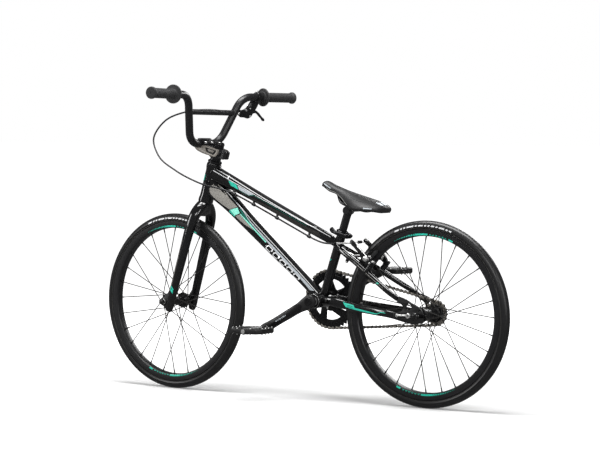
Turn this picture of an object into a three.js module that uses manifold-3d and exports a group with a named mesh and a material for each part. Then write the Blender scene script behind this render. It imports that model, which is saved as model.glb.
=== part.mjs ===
// A BMX race bike in the 20 x 1 1/8 size: aluminium frame, rigid fork, high-rise bars, single-speed drive and a
// rear linear-pull brake. Millimetres. +X is forward, +Y is the rider's left, +Z is up, and the origin is the
// point where the rear tyre meets the ground. Each piece is one named mesh.
import * as THREE from "three";
import { mergeVertices } from "three/addons/utils/BufferGeometryUtils.js";
import Module from "manifold-3d";

const wasm = await Module();
wasm.setup();

// ---------------------------------------------------------------- driving dimensions
const DEG = Math.PI / 180;
const GAP = 0.3; // clearance between neighbouring pieces

const WHEELBASE = 848;
const TYRE_R = 253.5; // outer radius of the inflated tyre, which is also the axle height
const TYRE_HALF_W = 15;
const RIM_R = 231.5; // top of the rim's flange
const RIM_INNER_R = 211.5;
const RIM_HALF_W = 13;
const SPOKES_PER_SIDE = 14;
const WHEEL_SIDES = 36;
const AXLE_R = 4.8;
const FLANGE_R = 21.5; // hub flanges, which the spokes hook into
const SPOKE_LEAN = 64 * DEG; // how far round the hub a spoke starts from its place on the rim
const FRONT_HUB = { left: 34.5, right: -34.5, half: 49.7, shellR: 12, leftEndR: 8.5, rightEndR: 8.5 };
const REAR_HUB = { left: 36, right: -31.5, half: 54.5, shellR: 15, leftEndR: 9, rightEndR: 11.5 };

const HEAD_ANGLE = 73.6 * DEG;
const STEER = -2.9 * DEG; // the bars are turned slightly to the right at rest
const STEER_POINT = new THREE.Vector3(706, 0, 654); // a point on the steering axis, near the top of the head tube
const HEAD_TOP_W = -4; // heights along the steering axis, counted from STEER_POINT
const HEAD_BOTTOM_W = -116;
const STEERER_R = 14.3;

const SEAT_ANGLE = 71.4 * DEG;
const SEAT_FOOT = new THREE.Vector3(335, 0, 277); // where the seat tube's axis meets the height of the cranks
const SEAT_TUBE_R = 12.7;
const POST_R = 11.1;
const COLLAR_S = 199; // distance of the seat collar up the seat tube's axis

const BB = new THREE.Vector3(338, 0, 277);
const BB_HALF_W = 36.5;
const BB_R = 20;
const CRANK_LENGTH = 170;
const CRANK_ANGLE = -28.8 * DEG; // the left crank points forward and down
const PITCH = 12.7;
const CHAINRING_TEETH = 40;
const COG_TEETH = 16;
const CHAIN_Y = -47;

const BAR_R = 11.1;
const CROSSBAR_R = 8;
const DROPOUT_Y = 55; // inner face of the rear dropouts
const BRAKE_ANGLE = 41 * DEG; // direction from the rear axle to the brake
const BRAKE_PIVOT_R = 200;
const BRAKE_PIVOT_Y = 40;
const PAD_R = 222;

const ringRadius = (teeth) => PITCH / (2 * Math.sin(Math.PI / teeth));

// ---------------------------------------------------------------- materials
const material = (color, roughness, metalness) =>
  new THREE.MeshStandardMaterial({ color, roughness, metalness });
const GLOSS_BLACK = material(0x0c0c0e, 0.2, 0.1);
const SATIN_BLACK = material(0x1a1a1c, 0.45, 0.3);
const RUBBER = material(0x1c1c1d, 0.85, 0);
const TREAD = material(0x242425, 0.9, 0);
const STEEL = material(0xb8bcc0, 0.3, 0.9);
const DARK_STEEL = material(0x4a4640, 0.4, 0.8);
const GREY_METAL = material(0x8f8a82, 0.45, 0.6);
const SEAT_COVER = material(0x2a2b2c, 0.7, 0);

// ---------------------------------------------------------------- geometry helpers
const V = (x, y, z) => new THREE.Vector3(x, y, z);
const Y_AXIS = V(0, 1, 0);

function signedVolume(positions, index) {
  const [a, b, c] = [V(0, 0, 0), V(0, 0, 0), V(0, 0, 0)];
  let sum = 0;
  for (let i = 0; i < index.length; i += 3) {
    a.fromArray(positions, 3 * index[i]);
    b.fromArray(positions, 3 * index[i + 1]);
    c.fromArray(positions, 3 * index[i + 2]);
    sum += a.dot(b.cross(c));
  }
  return sum / 6;
}

// A closed geometry as a solid, with its faces pointing out.
function solid(geometry) {
  const bare = geometry.index ? geometry.toNonIndexed() : geometry.clone();
  bare.deleteAttribute("normal");
  bare.deleteAttribute("uv");
  const merged = mergeVertices(bare, 1e-3);
  const vertProperties = merged.attributes.position.array;
  const triVerts = new Uint32Array(merged.index.array);
  if (signedVolume(vertProperties, triVerts) < 0)
    for (let i = 0; i < triVerts.length; i += 3)
      [triVerts[i + 1], triVerts[i + 2]] = [triVerts[i + 2], triVerts[i + 1]];
  return new wasm.Manifold(new wasm.Mesh({ numProp: 3, vertProperties, triVerts }));
}

const union = (...parts) => parts.reduce((a, b) => a.add(b));
const cut = (body, ...tools) => tools.reduce((a, b) => a.subtract(b), body);
// A tube cut to length by its neighbours: the stubs beyond them fall away.
const trimmed = (body, ...tools) =>
  cut(body, ...tools)
    .decompose()
    .reduce((a, b) => (a.volume() > b.volume() ? a : b));

function piece(name, body, look) {
  const { vertProperties, triVerts } = body.getMesh();
  const geometry = new THREE.BufferGeometry();
  geometry.setAttribute("position", new THREE.BufferAttribute(new Float32Array(vertProperties), 3));
  geometry.setIndex(new THREE.BufferAttribute(new Uint32Array(triVerts), 1));
  geometry.computeVertexNormals();
  const made = new THREE.Mesh(geometry, look);
  made.name = name;
  return made;
}

// A solid swept through stations {c, u, v, a, b}: an ellipse of half-axes a along u and b along v, centred on c.
function loft(stations, sides = 12, turn = 0) {
  const steps = stations.length - 1;
  const geometry = new THREE.CylinderGeometry(1, 1, 1, sides, steps);
  const at = geometry.attributes.position;
  for (let i = 0; i < at.count; i++) {
    const s = stations[Math.round((0.5 - at.getY(i)) * steps)];
    const x = at.getX(i) * Math.cos(turn) - at.getZ(i) * Math.sin(turn);
    const z = at.getX(i) * Math.sin(turn) + at.getZ(i) * Math.cos(turn);
    const p = s.c.clone().addScaledVector(s.u, s.a * x).addScaledVector(s.v, s.b * z);
    at.setXYZ(i, p.x, p.y, p.z);
  }
  return solid(geometry);
}

// A tube of constant radius along a list of points.
function pipe(points, radius, sides = 10) {
  let side = null;
  const stations = points.map((c, i) => {
    const before = points[Math.max(i - 1, 0)];
    const after = points[Math.min(i + 1, points.length - 1)];
    const along = after.clone().sub(before).normalize();
    if (!side) side = V(0, 0, 1).cross(along).length() > 0.2 ? V(0, 0, 1).cross(along) : V(1, 0, 0).cross(along);
    side = side.clone().addScaledVector(along, -side.dot(along)).normalize();
    return { c, u: side, v: along.clone().cross(side), a: radius, b: radius };
  });
  return loft(stations, sides);
}

const rod = (from, to, radius, sides = 12) => pipe([from, to], radius, sides);

// A tube whose ellipse stands upright: rows of [x, y, z, height, width].
function framePipe(rows, sides = 12) {
  const centres = rows.map(([x, y, z]) => V(x, y, z));
  const stations = rows.map(([, , , height, width], i) => {
    const before = centres[Math.max(i - 1, 0)];
    const after = centres[Math.min(i + 1, rows.length - 1)];
    const along = after.clone().sub(before).normalize();
    const across = Y_AXIS.clone().addScaledVector(along, -along.y).normalize();
    return { c: centres[i], u: across.clone().cross(along), v: across, a: height / 2, b: width / 2 };
  });
  return loft(stations, sides);
}

// A solid of revolution about a line: profile of [radius, distance along the line].
function turned(profile, from, direction, sides = 20, phase = 0) {
  const points = profile.map(([r, y]) => new THREE.Vector2(r, y));
  const geometry = new THREE.LatheGeometry(points, sides, phase);
  const turn = new THREE.Quaternion().setFromUnitVectors(Y_AXIS, direction.clone().normalize());
  geometry.applyQuaternion(turn);
  geometry.translate(from.x, from.y, from.z);
  return solid(geometry);
}

const ring = (inner, outer, y0, y1, from, direction, sides = 20) =>
  turned([[inner, y0], [outer, y0], [outer, y1], [inner, y1], [inner, y0]], from, direction, sides);
const disc = (outer, y0, y1, from, direction, sides = 20) =>
  turned([[0, y0], [outer, y0], [outer, y1], [0, y1]], from, direction, sides);

// A flat outline with holes. The outline runs anticlockwise, which lets the extruder turn its holes the right way.
function outlineShape(outline, holes = []) {
  const points = outline.map(([a, b]) => new THREE.Vector2(a, b));
  if (THREE.ShapeUtils.area(points) < 0) points.reverse();
  const shape = new THREE.Shape(points);
  shape.holes = holes.map((hole) => new THREE.Path(hole.map(([a, b]) => new THREE.Vector2(a, b))));
  return shape;
}

const extruded = (outline, depth, holes) =>
  new THREE.ExtrudeGeometry(outlineShape(outline, holes), { depth, bevelEnabled: false });

// An outline of [x, z] points, as thick as y0 to y1.
const plate = (outline, y0, y1, holes) =>
  solid(extruded(outline, y1 - y0, holes).rotateX(Math.PI / 2).translate(0, y1, 0));

const block = (x0, x1, y0, y1, z0, z1) =>
  solid(new THREE.BoxGeometry(x1 - x0, y1 - y0, z1 - z0).translate((x0 + x1) / 2, (y0 + y1) / 2, (z0 + z1) / 2));

const arc = (cx, cz, r, from, to, steps) =>
  Array.from({ length: steps + 1 }, (_, i) => {
    const t = from + ((to - from) * i) / steps;
    return [cx + r * Math.cos(t), cz + r * Math.sin(t)];
  });

const mirrored = (body) => body.mirror([0, 1, 0]);

// Straight runs between corners, joined by arcs of one radius.
function filleted(corners, radius, steps = 4) {
  const path = [corners[0]];
  for (let i = 1; i < corners.length - 1; i++) {
    const back = corners[i - 1].clone().sub(corners[i]).normalize();
    const on = corners[i + 1].clone().sub(corners[i]).normalize();
    const half = back.angleTo(on) / 2;
    const centre = corners[i]
      .clone()
      .addScaledVector(back.clone().add(on).normalize(), radius / Math.sin(half));
    const first = corners[i].clone().addScaledVector(back, radius / Math.tan(half)).sub(centre);
    const last = corners[i].clone().addScaledVector(on, radius / Math.tan(half)).sub(centre);
    const sweep = first.angleTo(last);
    for (let k = 0; k <= steps; k++) {
      const t = k / steps;
      const spoke = first
        .clone()
        .multiplyScalar(Math.sin((1 - t) * sweep))
        .addScaledVector(last, Math.sin(t * sweep))
        .divideScalar(Math.sin(sweep));
      path.push(centre.clone().add(spoke));
    }
  }
  path.push(corners[corners.length - 1]);
  return path;
}

// ---------------------------------------------------------------- reference lines
const STEER_UP = V(-Math.cos(HEAD_ANGLE), 0, Math.sin(HEAD_ANGLE));
const STEER_FORWARD = V(Math.sin(HEAD_ANGLE), 0, Math.cos(HEAD_ANGLE));
// A point u forward of the steering axis, y to the left and w up it, with the bars straight.
const steerPoint = (u, y, w) =>
  STEER_POINT.clone().addScaledVector(STEER_FORWARD, u).addScaledVector(STEER_UP, w).add(V(0, y, 0));

const SEAT_UP = V(-Math.cos(SEAT_ANGLE), 0, Math.sin(SEAT_ANGLE));
const SEAT_FORWARD = V(Math.sin(SEAT_ANGLE), 0, Math.cos(SEAT_ANGLE));
const seatPoint = (u, y, s) =>
  SEAT_FOOT.clone().addScaledVector(SEAT_FORWARD, u).addScaledVector(SEAT_UP, s).add(V(0, y, 0));

const REAR_AXLE = V(0, 0, TYRE_R);
const FRONT_AXLE = V(WHEELBASE, 0, TYRE_R);
const BRAKE_OUT = V(Math.cos(BRAKE_ANGLE), 0, Math.sin(BRAKE_ANGLE));
const BRAKE_UP = V(-Math.sin(BRAKE_ANGLE), 0, Math.cos(BRAKE_ANGLE));
// A point r out from the rear axle towards the brake, y to the left and t across that direction.
const brakePoint = (r, y, t) =>
  REAR_AXLE.clone().addScaledVector(BRAKE_OUT, r).addScaledVector(BRAKE_UP, t).add(V(0, y, 0));

const root = new THREE.Group();
const steering = new THREE.Group();
steering.quaternion.setFromAxisAngle(STEER_UP, STEER);
steering.position.copy(STEER_POINT).sub(STEER_POINT.clone().applyQuaternion(steering.quaternion));
root.add(steering);

// ---------------------------------------------------------------- frame
const headEnvelope = union(
  disc(21.5 + GAP, HEAD_BOTTOM_W, HEAD_BOTTOM_W + 18, STEER_POINT, STEER_UP),
  disc(19.8 + GAP, HEAD_BOTTOM_W + 17, HEAD_TOP_W - 17, STEER_POINT, STEER_UP),
  disc(21.5 + GAP, HEAD_TOP_W - 18, HEAD_TOP_W, STEER_POINT, STEER_UP),
);
const seatEnvelope = disc(SEAT_TUBE_R + GAP, -10, COLLAR_S + 8, SEAT_FOOT, SEAT_UP);
const bbEnvelope = disc(BB_R + GAP, -BB_HALF_W - 6, BB_HALF_W + 6, BB, Y_AXIS);

function addHeadTube() {
  const profile = [
    [17, HEAD_BOTTOM_W],
    [21.5, HEAD_BOTTOM_W],
    [21.5, HEAD_BOTTOM_W + 10],
    [19.8, HEAD_BOTTOM_W + 18],
    [19.8, HEAD_TOP_W - 18],
    [21.5, HEAD_TOP_W - 10],
    [21.5, HEAD_TOP_W],
    [17, HEAD_TOP_W],
    [17, HEAD_BOTTOM_W],
  ];
  root.add(piece("head_tube", turned(profile, STEER_POINT, STEER_UP, 16), GLOSS_BLACK));
  const upperCup = ring(STEERER_R + 1, 20.5, HEAD_TOP_W + GAP, HEAD_TOP_W + 3, STEER_POINT, STEER_UP, 12);
  const lowerCup = ring(STEERER_R + 1, 20.5, HEAD_BOTTOM_W - 3, HEAD_BOTTOM_W - GAP, STEER_POINT, STEER_UP, 12);
  root.add(piece("headset_upper_cup", upperCup, SATIN_BLACK));
  root.add(piece("headset_lower_cup", lowerCup, SATIN_BLACK));
}

const TOP_TUBE = [
  [704, 0, 624, 44, 36],
  [640, 0, 597, 37, 36],
  [548, 0, 556, 30, 38],
  [412, 0, 494, 27, 36],
  [300, 0, 443.5, 24, 28],
  [281, 0, 435, 23, 24],
];
const DOWN_TUBE = [
  [716, 0, 588, 56, 38],
  [650, 0, 543, 50, 40],
  [582, 0, 486, 42, 42],
  [479, 0, 401, 35, 42],
  [400, 0, 337, 29, 44],
  [342, 0, 288, 28, 50],
];
const thicker = (rows) => rows.map(([x, y, z, h, w]) => [x, y, z, h + 2 * GAP, w + 2 * GAP]);
const TOP_TUBE_SLOPE = V(406, 0, 181).normalize();
const CABLE_R = 2.5;
const CABLE_STOP = [626, 19, 569];
const CLIPS = [
  [560, 14, 539],
  [480, 14, 503],
  [372, 14, 454],
];

function addMainTubes() {
  const clips = CLIPS.map(([x, y, z]) => {
    const reach = (d) => V(x, y, z).addScaledVector(TOP_TUBE_SLOPE, d);
    const saddleBlock = union(rod(reach(-5), reach(5), 5.5, 6), rod(V(x, y, z), V(x, 7, z + 20), 3, 4));
    return cut(saddleBlock, rod(reach(-8), reach(8), CABLE_R + 1.1, 6));
  });
  const [x, y, z] = CABLE_STOP;
  const stop = [-6, 6].map((d) => V(x, y, z).addScaledVector(TOP_TUBE_SLOPE, d));
  const stopBlock = union(rod(stop[0], stop[1], 5.5, 8), rod(V(x, y, z), V(x, 8, z + 18), 4, 6));
  const topTube = trimmed(union(framePipe(TOP_TUBE, 12), stopBlock, ...clips), headEnvelope, seatEnvelope);
  root.add(piece("top_tube", topTube, GLOSS_BLACK));
  const downTube = trimmed(
    framePipe(DOWN_TUBE, 12),
    headEnvelope,
    framePipe(thicker(TOP_TUBE), 12),
    bbEnvelope,
    seatEnvelope,
  );
  root.add(piece("down_tube", downTube, GLOSS_BLACK));

  const bore = disc(POST_R + GAP, 30, COLLAR_S + 20, SEAT_FOOT, SEAT_UP, 16);
  const seatTube = cut(disc(SEAT_TUBE_R, 4, COLLAR_S + 7, SEAT_FOOT, SEAT_UP, 16), bore, bbEnvelope);
  root.add(piece("seat_tube", seatTube, GLOSS_BLACK));
  root.add(piece("bb_shell", ring(17.5, BB_R, -BB_HALF_W, BB_HALF_W, BB, Y_AXIS, 16), GLOSS_BLACK));
}

const CHAINSTAY = [
  [324, 24, 279, 21, 13],
  [291, 30.5, 278, 24, 13],
  [236, 35, 270, 24, 14],
  [133, 47, 259, 22, 15],
  [90, 55, 255, 20.5, 14],
  [68, 58, 251.5, 20, 11.5],
];
const SEATSTAY = [
  [284, 8, 430, 17, 14],
  [262, 16, 418, 16, 16],
  [206, 29, 387, 16, 16],
  [150, 42, 353, 16, 16],
  [112, 51, 330, 15.5, 15],
  [85, 59, 314, 15, 14.5],
  [58, 61, 298, 14, 13],
];

function addStays() {
  const chainstay = trimmed(framePipe(CHAINSTAY, 10), bbEnvelope, seatEnvelope);
  const yoke = cut(block(272, 300, -32, 32, 270, 284), disc(TYRE_R + 8, -40, 40, REAR_AXLE, Y_AXIS, 32));
  root.add(piece("chainstay_left", union(chainstay, cut(yoke, block(260, 310, -40, 0, 260, 290))), GLOSS_BLACK));
  const right = cut(yoke, block(260, 310, -GAP, 40, 260, 290));
  root.add(piece("chainstay_right", union(mirrored(chainstay), right), GLOSS_BLACK));

  const stay = framePipe(SEATSTAY, 10);
  const boss = rod(brakePoint(BRAKE_PIVOT_R, BRAKE_PIVOT_Y, -28), brakePoint(BRAKE_PIVOT_R, BRAKE_PIVOT_Y, -8), 8, 10);
  const stud = rod(brakePoint(BRAKE_PIVOT_R, BRAKE_PIVOT_Y, -9), brakePoint(BRAKE_PIVOT_R, BRAKE_PIVOT_Y, 9), 3.7, 8);
  const half = union(stay, boss, stud);
  const bridge = rod(V(226, -28, 398), V(226, 28, 398), 7.5, 10);
  const tyreRoom = disc(TYRE_R + 6, -18, 18, REAR_AXLE, Y_AXIS, 32);
  const both = trimmed(union(half, mirrored(half), bridge), tyreRoom, seatEnvelope, framePipe(thicker(TOP_TUBE), 12));
  root.add(piece("seatstays", both, GLOSS_BLACK));
}

function dropout() {
  const slot = arc(0, TYRE_R, AXLE_R + GAP, Math.PI / 2, -Math.PI / 2, 8);
  const outline = [
    [-26, TYRE_R + 5.1],
    ...slot,
    [-26, TYRE_R - 5.1],
    [-20, 238],
    [-4, 231],
    [30, 234],
    [66, 241],
    [66, 261],
    [38, 264],
    [33, 274],
    [58, 288],
    [52, 305],
    [12, 287],
    [-14, 275],
  ];
  return plate(outline, DROPOUT_Y, DROPOUT_Y + 6);
}

function tensioner() {
  const y = DROPOUT_Y + 6;
  const shoe = cut(
    union(disc(10, y + GAP, y + 3, REAR_AXLE, Y_AXIS, 16), block(4, 26, y + GAP, y + 3, TYRE_R - 5, TYRE_R + 5)),
    disc(AXLE_R + GAP, y, y + 4, REAR_AXLE, Y_AXIS, 12),
  );
  const eye = disc(6.5, y + 2, y + 9, V(18, 0, TYRE_R), Y_AXIS, 12);
  const bolt = rod(V(16, y + 6, TYRE_R), V(56, y + 6, TYRE_R), 2.4, 8);
  const head = rod(V(51, y + 6, TYRE_R), V(57, y + 6, TYRE_R), 4.3, 8);
  return union(shoe, eye, bolt, head);
}

function addRearEnds() {
  root.add(piece("dropout_left", cut(dropout(), block(57.5, 70, 50, 70, 280, 310)), SATIN_BLACK));
  root.add(piece("dropout_right", mirrored(cut(dropout(), block(57.5, 70, 50, 70, 280, 310))), SATIN_BLACK));
  root.add(piece("tensioner_left", tensioner(), STEEL));
  root.add(piece("tensioner_right", mirrored(tensioner()), STEEL));
  const nut = disc(8.7, DROPOUT_Y + 9 + GAP, DROPOUT_Y + 18, REAR_AXLE, Y_AXIS, 6);
  const axle = union(disc(AXLE_R, -78, 78, REAR_AXLE, Y_AXIS, 12), nut, mirrored(nut));
  root.add(piece("rear_axle", axle, SATIN_BLACK));
}

function addBottomBracket() {
  const lip = [[13, 20], [17, 20], [17, BB_HALF_W + GAP], [22, BB_HALF_W + GAP], [22, BB_HALF_W + 7], [13, BB_HALF_W + 7]];
  const cup = turned(bored(lip), BB, Y_AXIS, 14);
  root.add(piece("bb_cup_left", cup, SATIN_BLACK));
  root.add(piece("bb_cup_right", mirrored(cup), SATIN_BLACK));
}

function addSeatCollar() {
  const band = ring(SEAT_TUBE_R + GAP, 16.5, COLLAR_S - 7, COLLAR_S + 7, SEAT_FOOT, SEAT_UP, 20);
  const ears = loft(
    [-14, -32].map((u) => ({ c: seatPoint(u, 0, COLLAR_S), u: Y_AXIS, v: SEAT_UP, a: 11, b: 9.9 })),
    4,
    Math.PI / 4,
  );
  const slit = loft(
    [-10, -40].map((u) => ({ c: seatPoint(u, 0, COLLAR_S), u: Y_AXIS, v: SEAT_UP, a: 1.5, b: 15 })),
    4,
    Math.PI / 4,
  );
  const collar = cut(union(band, cut(ears, disc(SEAT_TUBE_R + GAP, 150, 240, SEAT_FOOT, SEAT_UP, 20))), slit);
  root.add(piece("seat_collar", collar, SATIN_BLACK));

  // The lever's cam turns beside the ears, and its arm wraps round the left of the collar to a knob in front.
  const cam = disc(7, -5, 5, seatPoint(-24, 15.5, COLLAR_S), SEAT_UP, 12);
  const arm = pipe(
    [[-24, 17], [-14, 22], [0, 24.5], [12, 22.5], [22, 16]].map(([u, y]) => seatPoint(u, y, COLLAR_S)),
    3,
    8,
  );
  const knob = rod(seatPoint(19, 18, COLLAR_S), seatPoint(30, 9, COLLAR_S), 6, 10);
  root.add(piece("seat_qr_lever", union(cam, arm, knob), SATIN_BLACK));
}

function addChain() {
  const big = ringRadius(CHAINRING_TEETH);
  const small = ringRadius(COG_TEETH);
  const span = Math.hypot(BB.x, BB.z - TYRE_R);
  const lean = Math.atan2(BB.z - TYRE_R, BB.x);
  const wrap = Math.acos((big - small) / span); // half the angle that the chain leaves free round the chainring
  const loop = (offset, steps) => [
    ...arc(BB.x, BB.z, big + offset, lean + Math.PI - wrap, lean - Math.PI + wrap, steps),
    ...arc(0, TYRE_R, small + offset, lean - Math.PI + wrap, lean - Math.PI - wrap, steps / 2),
  ];
  const band = (y0, y1) => plate(loop(4, 18), CHAIN_Y + y0, CHAIN_Y + y1, [loop(-4, 18)]);
  const pins = [];
  for (const side of [1, -1]) {
    const normal = lean + side * (Math.PI - wrap);
    const from = V(BB.x + big * Math.cos(normal), CHAIN_Y, BB.z + big * Math.sin(normal));
    const to = V(small * Math.cos(normal), CHAIN_Y, TYRE_R + small * Math.sin(normal));
    for (const t of [0.25, 0.5, 0.75]) {
      const at = from.clone().lerp(to, t);
      pins.push(rod(V(at.x, CHAIN_Y - 2.5, at.z), V(at.x, CHAIN_Y + 2.5, at.z), 2.5, 6));
    }
  }
  root.add(piece("chain", union(band(1.8, 3.5), band(-3.5, -1.8), ...pins), DARK_STEEL));
}

// ---------------------------------------------------------------- wheels
function wheel(name, axle, parent, hub) {
  const phase = Math.PI / WHEEL_SIDES; // a flat of the tread, not an edge, is at the bottom
  const flat = 1 / Math.cos(phase);
  const tread = [[TYRE_R, 4], [248.5, 12.6], [240, TYRE_HALF_W], [232, 9.6], [226, 9.4]];
  const section = [...tread, ...tread.map(([r, y]) => [r, -y]).reverse(), tread[0]];
  const tyre = turned(section.map(([r, y]) => [r * flat, y]), axle, Y_AXIS, WHEEL_SIDES, phase);
  parent.add(piece(name + "_tyre", tyre, TREAD));

  const half = [[225.6, 9.9], [RIM_R, 9.9], [RIM_R, RIM_HALF_W], [RIM_INNER_R, 9]];
  const rimSection = [...half, ...half.map(([r, y]) => [r, -y]).reverse(), half[0]];
  const rim = turned(rimSection.map(([r, y]) => [r * flat, y]), axle, Y_AXIS, WHEEL_SIDES, phase);
  parent.add(piece(name + "_rim", rim, SATIN_BLACK));

  parent.add(piece(name + "_hub", turned(hubProfile(hub), axle, Y_AXIS, 14), SATIN_BLACK));

  // Each side's spokes cross over each other, and meet in a thin hoop beside the hub's flange.
  for (const [side, sign] of [["left", 1], ["right", -1]]) {
    const y = hub[side] + 3.9 * sign;
    const spot = (r, angle, across) => axle.clone().add(V(r * Math.sin(angle), across, r * Math.cos(angle)));
    const spokes = [ring(17.5, 22, y - 1.2, y + 1.2, axle, Y_AXIS, SPOKES_PER_SIDE)];
    for (let i = 0; i < SPOKES_PER_SIDE; i++) {
      const lean = i % 2 ? 1 : -1;
      const rimAngle = ((i + (sign > 0 ? 0 : 0.5)) * 2 * Math.PI) / SPOKES_PER_SIDE;
      const inner = spot(20, rimAngle + lean * SPOKE_LEAN, y + 0.9 * lean);
      const outer = spot(RIM_INNER_R - 1.1, rimAngle, 2 * sign + 0.9 * lean);
      spokes.push(rod(inner, outer, 0.9, 3));
    }
    parent.add(piece(name + "_spokes_" + side, union(...spokes), STEEL));
  }
}

const bored = (outline) => [...outline, outline[0]];

// A hub: its shell between two flanges, and an end on each side of radius endR.
function hubProfile({ left, right, half, shellR, leftEndR, rightEndR }) {
  const bore = AXLE_R + 0.5;
  return bored([
    [bore, -half],
    [rightEndR, -half],
    [rightEndR, right - 2.5],
    [FLANGE_R, right - 1.5],
    [FLANGE_R, right + 1.5],
    [shellR, right + 6],
    [shellR, left - 6],
    [FLANGE_R, left - 1.5],
    [FLANGE_R, left + 1.5],
    [leftEndR, left + 2.5],
    [leftEndR, half],
    [bore, half],
  ]);
}

function sprocket(teeth, y0, y1, holes) {
  const pitchR = ringRadius(teeth);
  const outline = [];
  for (let i = 0; i < teeth; i++) {
    const step = (2 * Math.PI) / teeth;
    for (const [part, r] of [[0, pitchR + 3], [0.5, pitchR - 3.2]]) {
      const angle = (i + part) * step;
      outline.push([r * Math.cos(angle), r * Math.sin(angle)]);
    }
  }
  return plate(outline, y0, y1, holes);
}

// ---------------------------------------------------------------- drive
function addCranks() {
  const big = ringRadius(CHAINRING_TEETH);
  const circle = (cx, cz, r, n) => arc(cx, cz, r, 0, 2 * Math.PI * (1 - 1 / n), n - 1);
  const windows = Array.from({ length: 5 }, (_, i) => {
    const a = (i * 72 + 36) * DEG;
    const w = 27 * DEG;
    return [...arc(0, 0, big - 18, a - w, a + w, 3), ...arc(0, 0, 34, a + w * 0.8, a - w * 0.8, 2)];
  });
  const ringPlate = sprocket(CHAINRING_TEETH, CHAIN_Y - 1.3, CHAIN_Y + 1.3, [circle(0, 0, 12 + GAP, 12), ...windows]);
  const hubDisc = ring(12 + GAP, 22, CHAIN_Y - 8, CHAIN_Y, V(0, 0, 0), Y_AXIS, 12);
  const chainring = union(ringPlate, hubDisc).rotate([0, -CRANK_ANGLE / DEG, 0]).translate([BB.x, 0, BB.z]);
  root.add(piece("chainring", chainring, SATIN_BLACK));
  root.add(piece("crank_spindle", disc(12, -55.5, 55.5, BB, Y_AXIS, 12), STEEL));

  const arm = () => {
    const lean = Math.asin((19 - 14) / CRANK_LENGTH);
    const outline = [
      ...arc(0, 0, 19, Math.PI / 2 - lean, Math.PI * 1.5 + lean, 10),
      ...arc(CRANK_LENGTH, 0, 14, -Math.PI / 2 + lean, Math.PI / 2 - lean, 8),
    ];
    return plate(outline, 56, 70);
  };
  const place = (body, turn) => body.rotate([0, -turn / DEG, 0]).translate([BB.x, 0, BB.z]);
  root.add(piece("crank_left", place(arm(), CRANK_ANGLE), SATIN_BLACK));
  root.add(piece("crank_right", place(mirrored(arm()), CRANK_ANGLE + Math.PI), SATIN_BLACK));

  for (const [side, sign] of [["left", 1], ["right", -1]]) {
    const end = V(
      BB.x + sign * CRANK_LENGTH * Math.cos(CRANK_ANGLE),
      0,
      BB.z + sign * CRANK_LENGTH * Math.sin(CRANK_ANGLE),
    );
    const flip = (body) => (sign > 0 ? body : mirrored(body));
    const axle = union(disc(5, 71, 164, end, Y_AXIS, 10), disc(8, 70 + GAP, 75, end, Y_AXIS, 10));
    root.add(piece("pedal_axle_" + side, flip(axle), STEEL));
    root.add(piece("pedal_" + side, flip(pedal(end)), SATIN_BLACK));
  }
}

// A platform pedal: a bowed cage round a barrel that turns on the axle.
function pedal(end) {
  const cage = [[-44, 84], [-50, 100], [-50, 148], [-42, 168], [42, 168], [50, 148], [50, 100], [44, 84]];
  const plateBody = solid(extruded(cage, 14).translate(end.x, 0, end.z - 7));
  const windows = [-40, 14].map((x) => block(end.x + x, end.x + x + 26, 92, 160, end.z - 10, end.z + 10));
  const barrel = disc(9, 77, 170, end, Y_AXIS, 12);
  return cut(union(cut(plateBody, ...windows), barrel), disc(5 + GAP, 70, 165, end, Y_AXIS, 10));
}

function addFreewheel() {
  const teeth = sprocket(COG_TEETH, CHAIN_Y - 1.3, CHAIN_Y + 1.3, [arc(0, 0, 12.2, 0, 2 * Math.PI * (11 / 12), 11)]);
  const body = ring(12.2, 25, -53.5, -39, V(0, 0, 0), Y_AXIS, 12);
  root.add(piece("freewheel", union(teeth, body).translate([0, 0, TYRE_R]), DARK_STEEL));
}

// ---------------------------------------------------------------- fork, stem and bars
const FORK_LEG = [
  [-121, 6, 17, 12],
  [-131, 17, 17, 13],
  [-143, 28, 17, 13],
  [-158, 37, 16.5, 12.5],
  [-176, 42, 16, 11.5],
  [-200, 44.2, 15.3, 11],
  [-300, 48, 13.8, 10],
  [-400, 51.5, 12.4, 9.2],
  [-438, 52.3, 11.8, 8.8],
  [-446, 52.3, 8, 6],
];

function forkLeg() {
  const stations = FORK_LEG.map(([w, y, a, b], i) => {
    const before = FORK_LEG[Math.max(i - 1, 0)];
    const after = FORK_LEG[Math.min(i + 1, FORK_LEG.length - 1)];
    const fall = STEER_UP.clone().multiplyScalar(after[0] - before[0]).add(V(0, after[1] - before[1], 0)).normalize();
    return { c: steerPoint(-1, y, w), u: STEER_FORWARD, v: fall.cross(STEER_FORWARD), a, b };
  });
  return loft(stations, 10);
}

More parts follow.
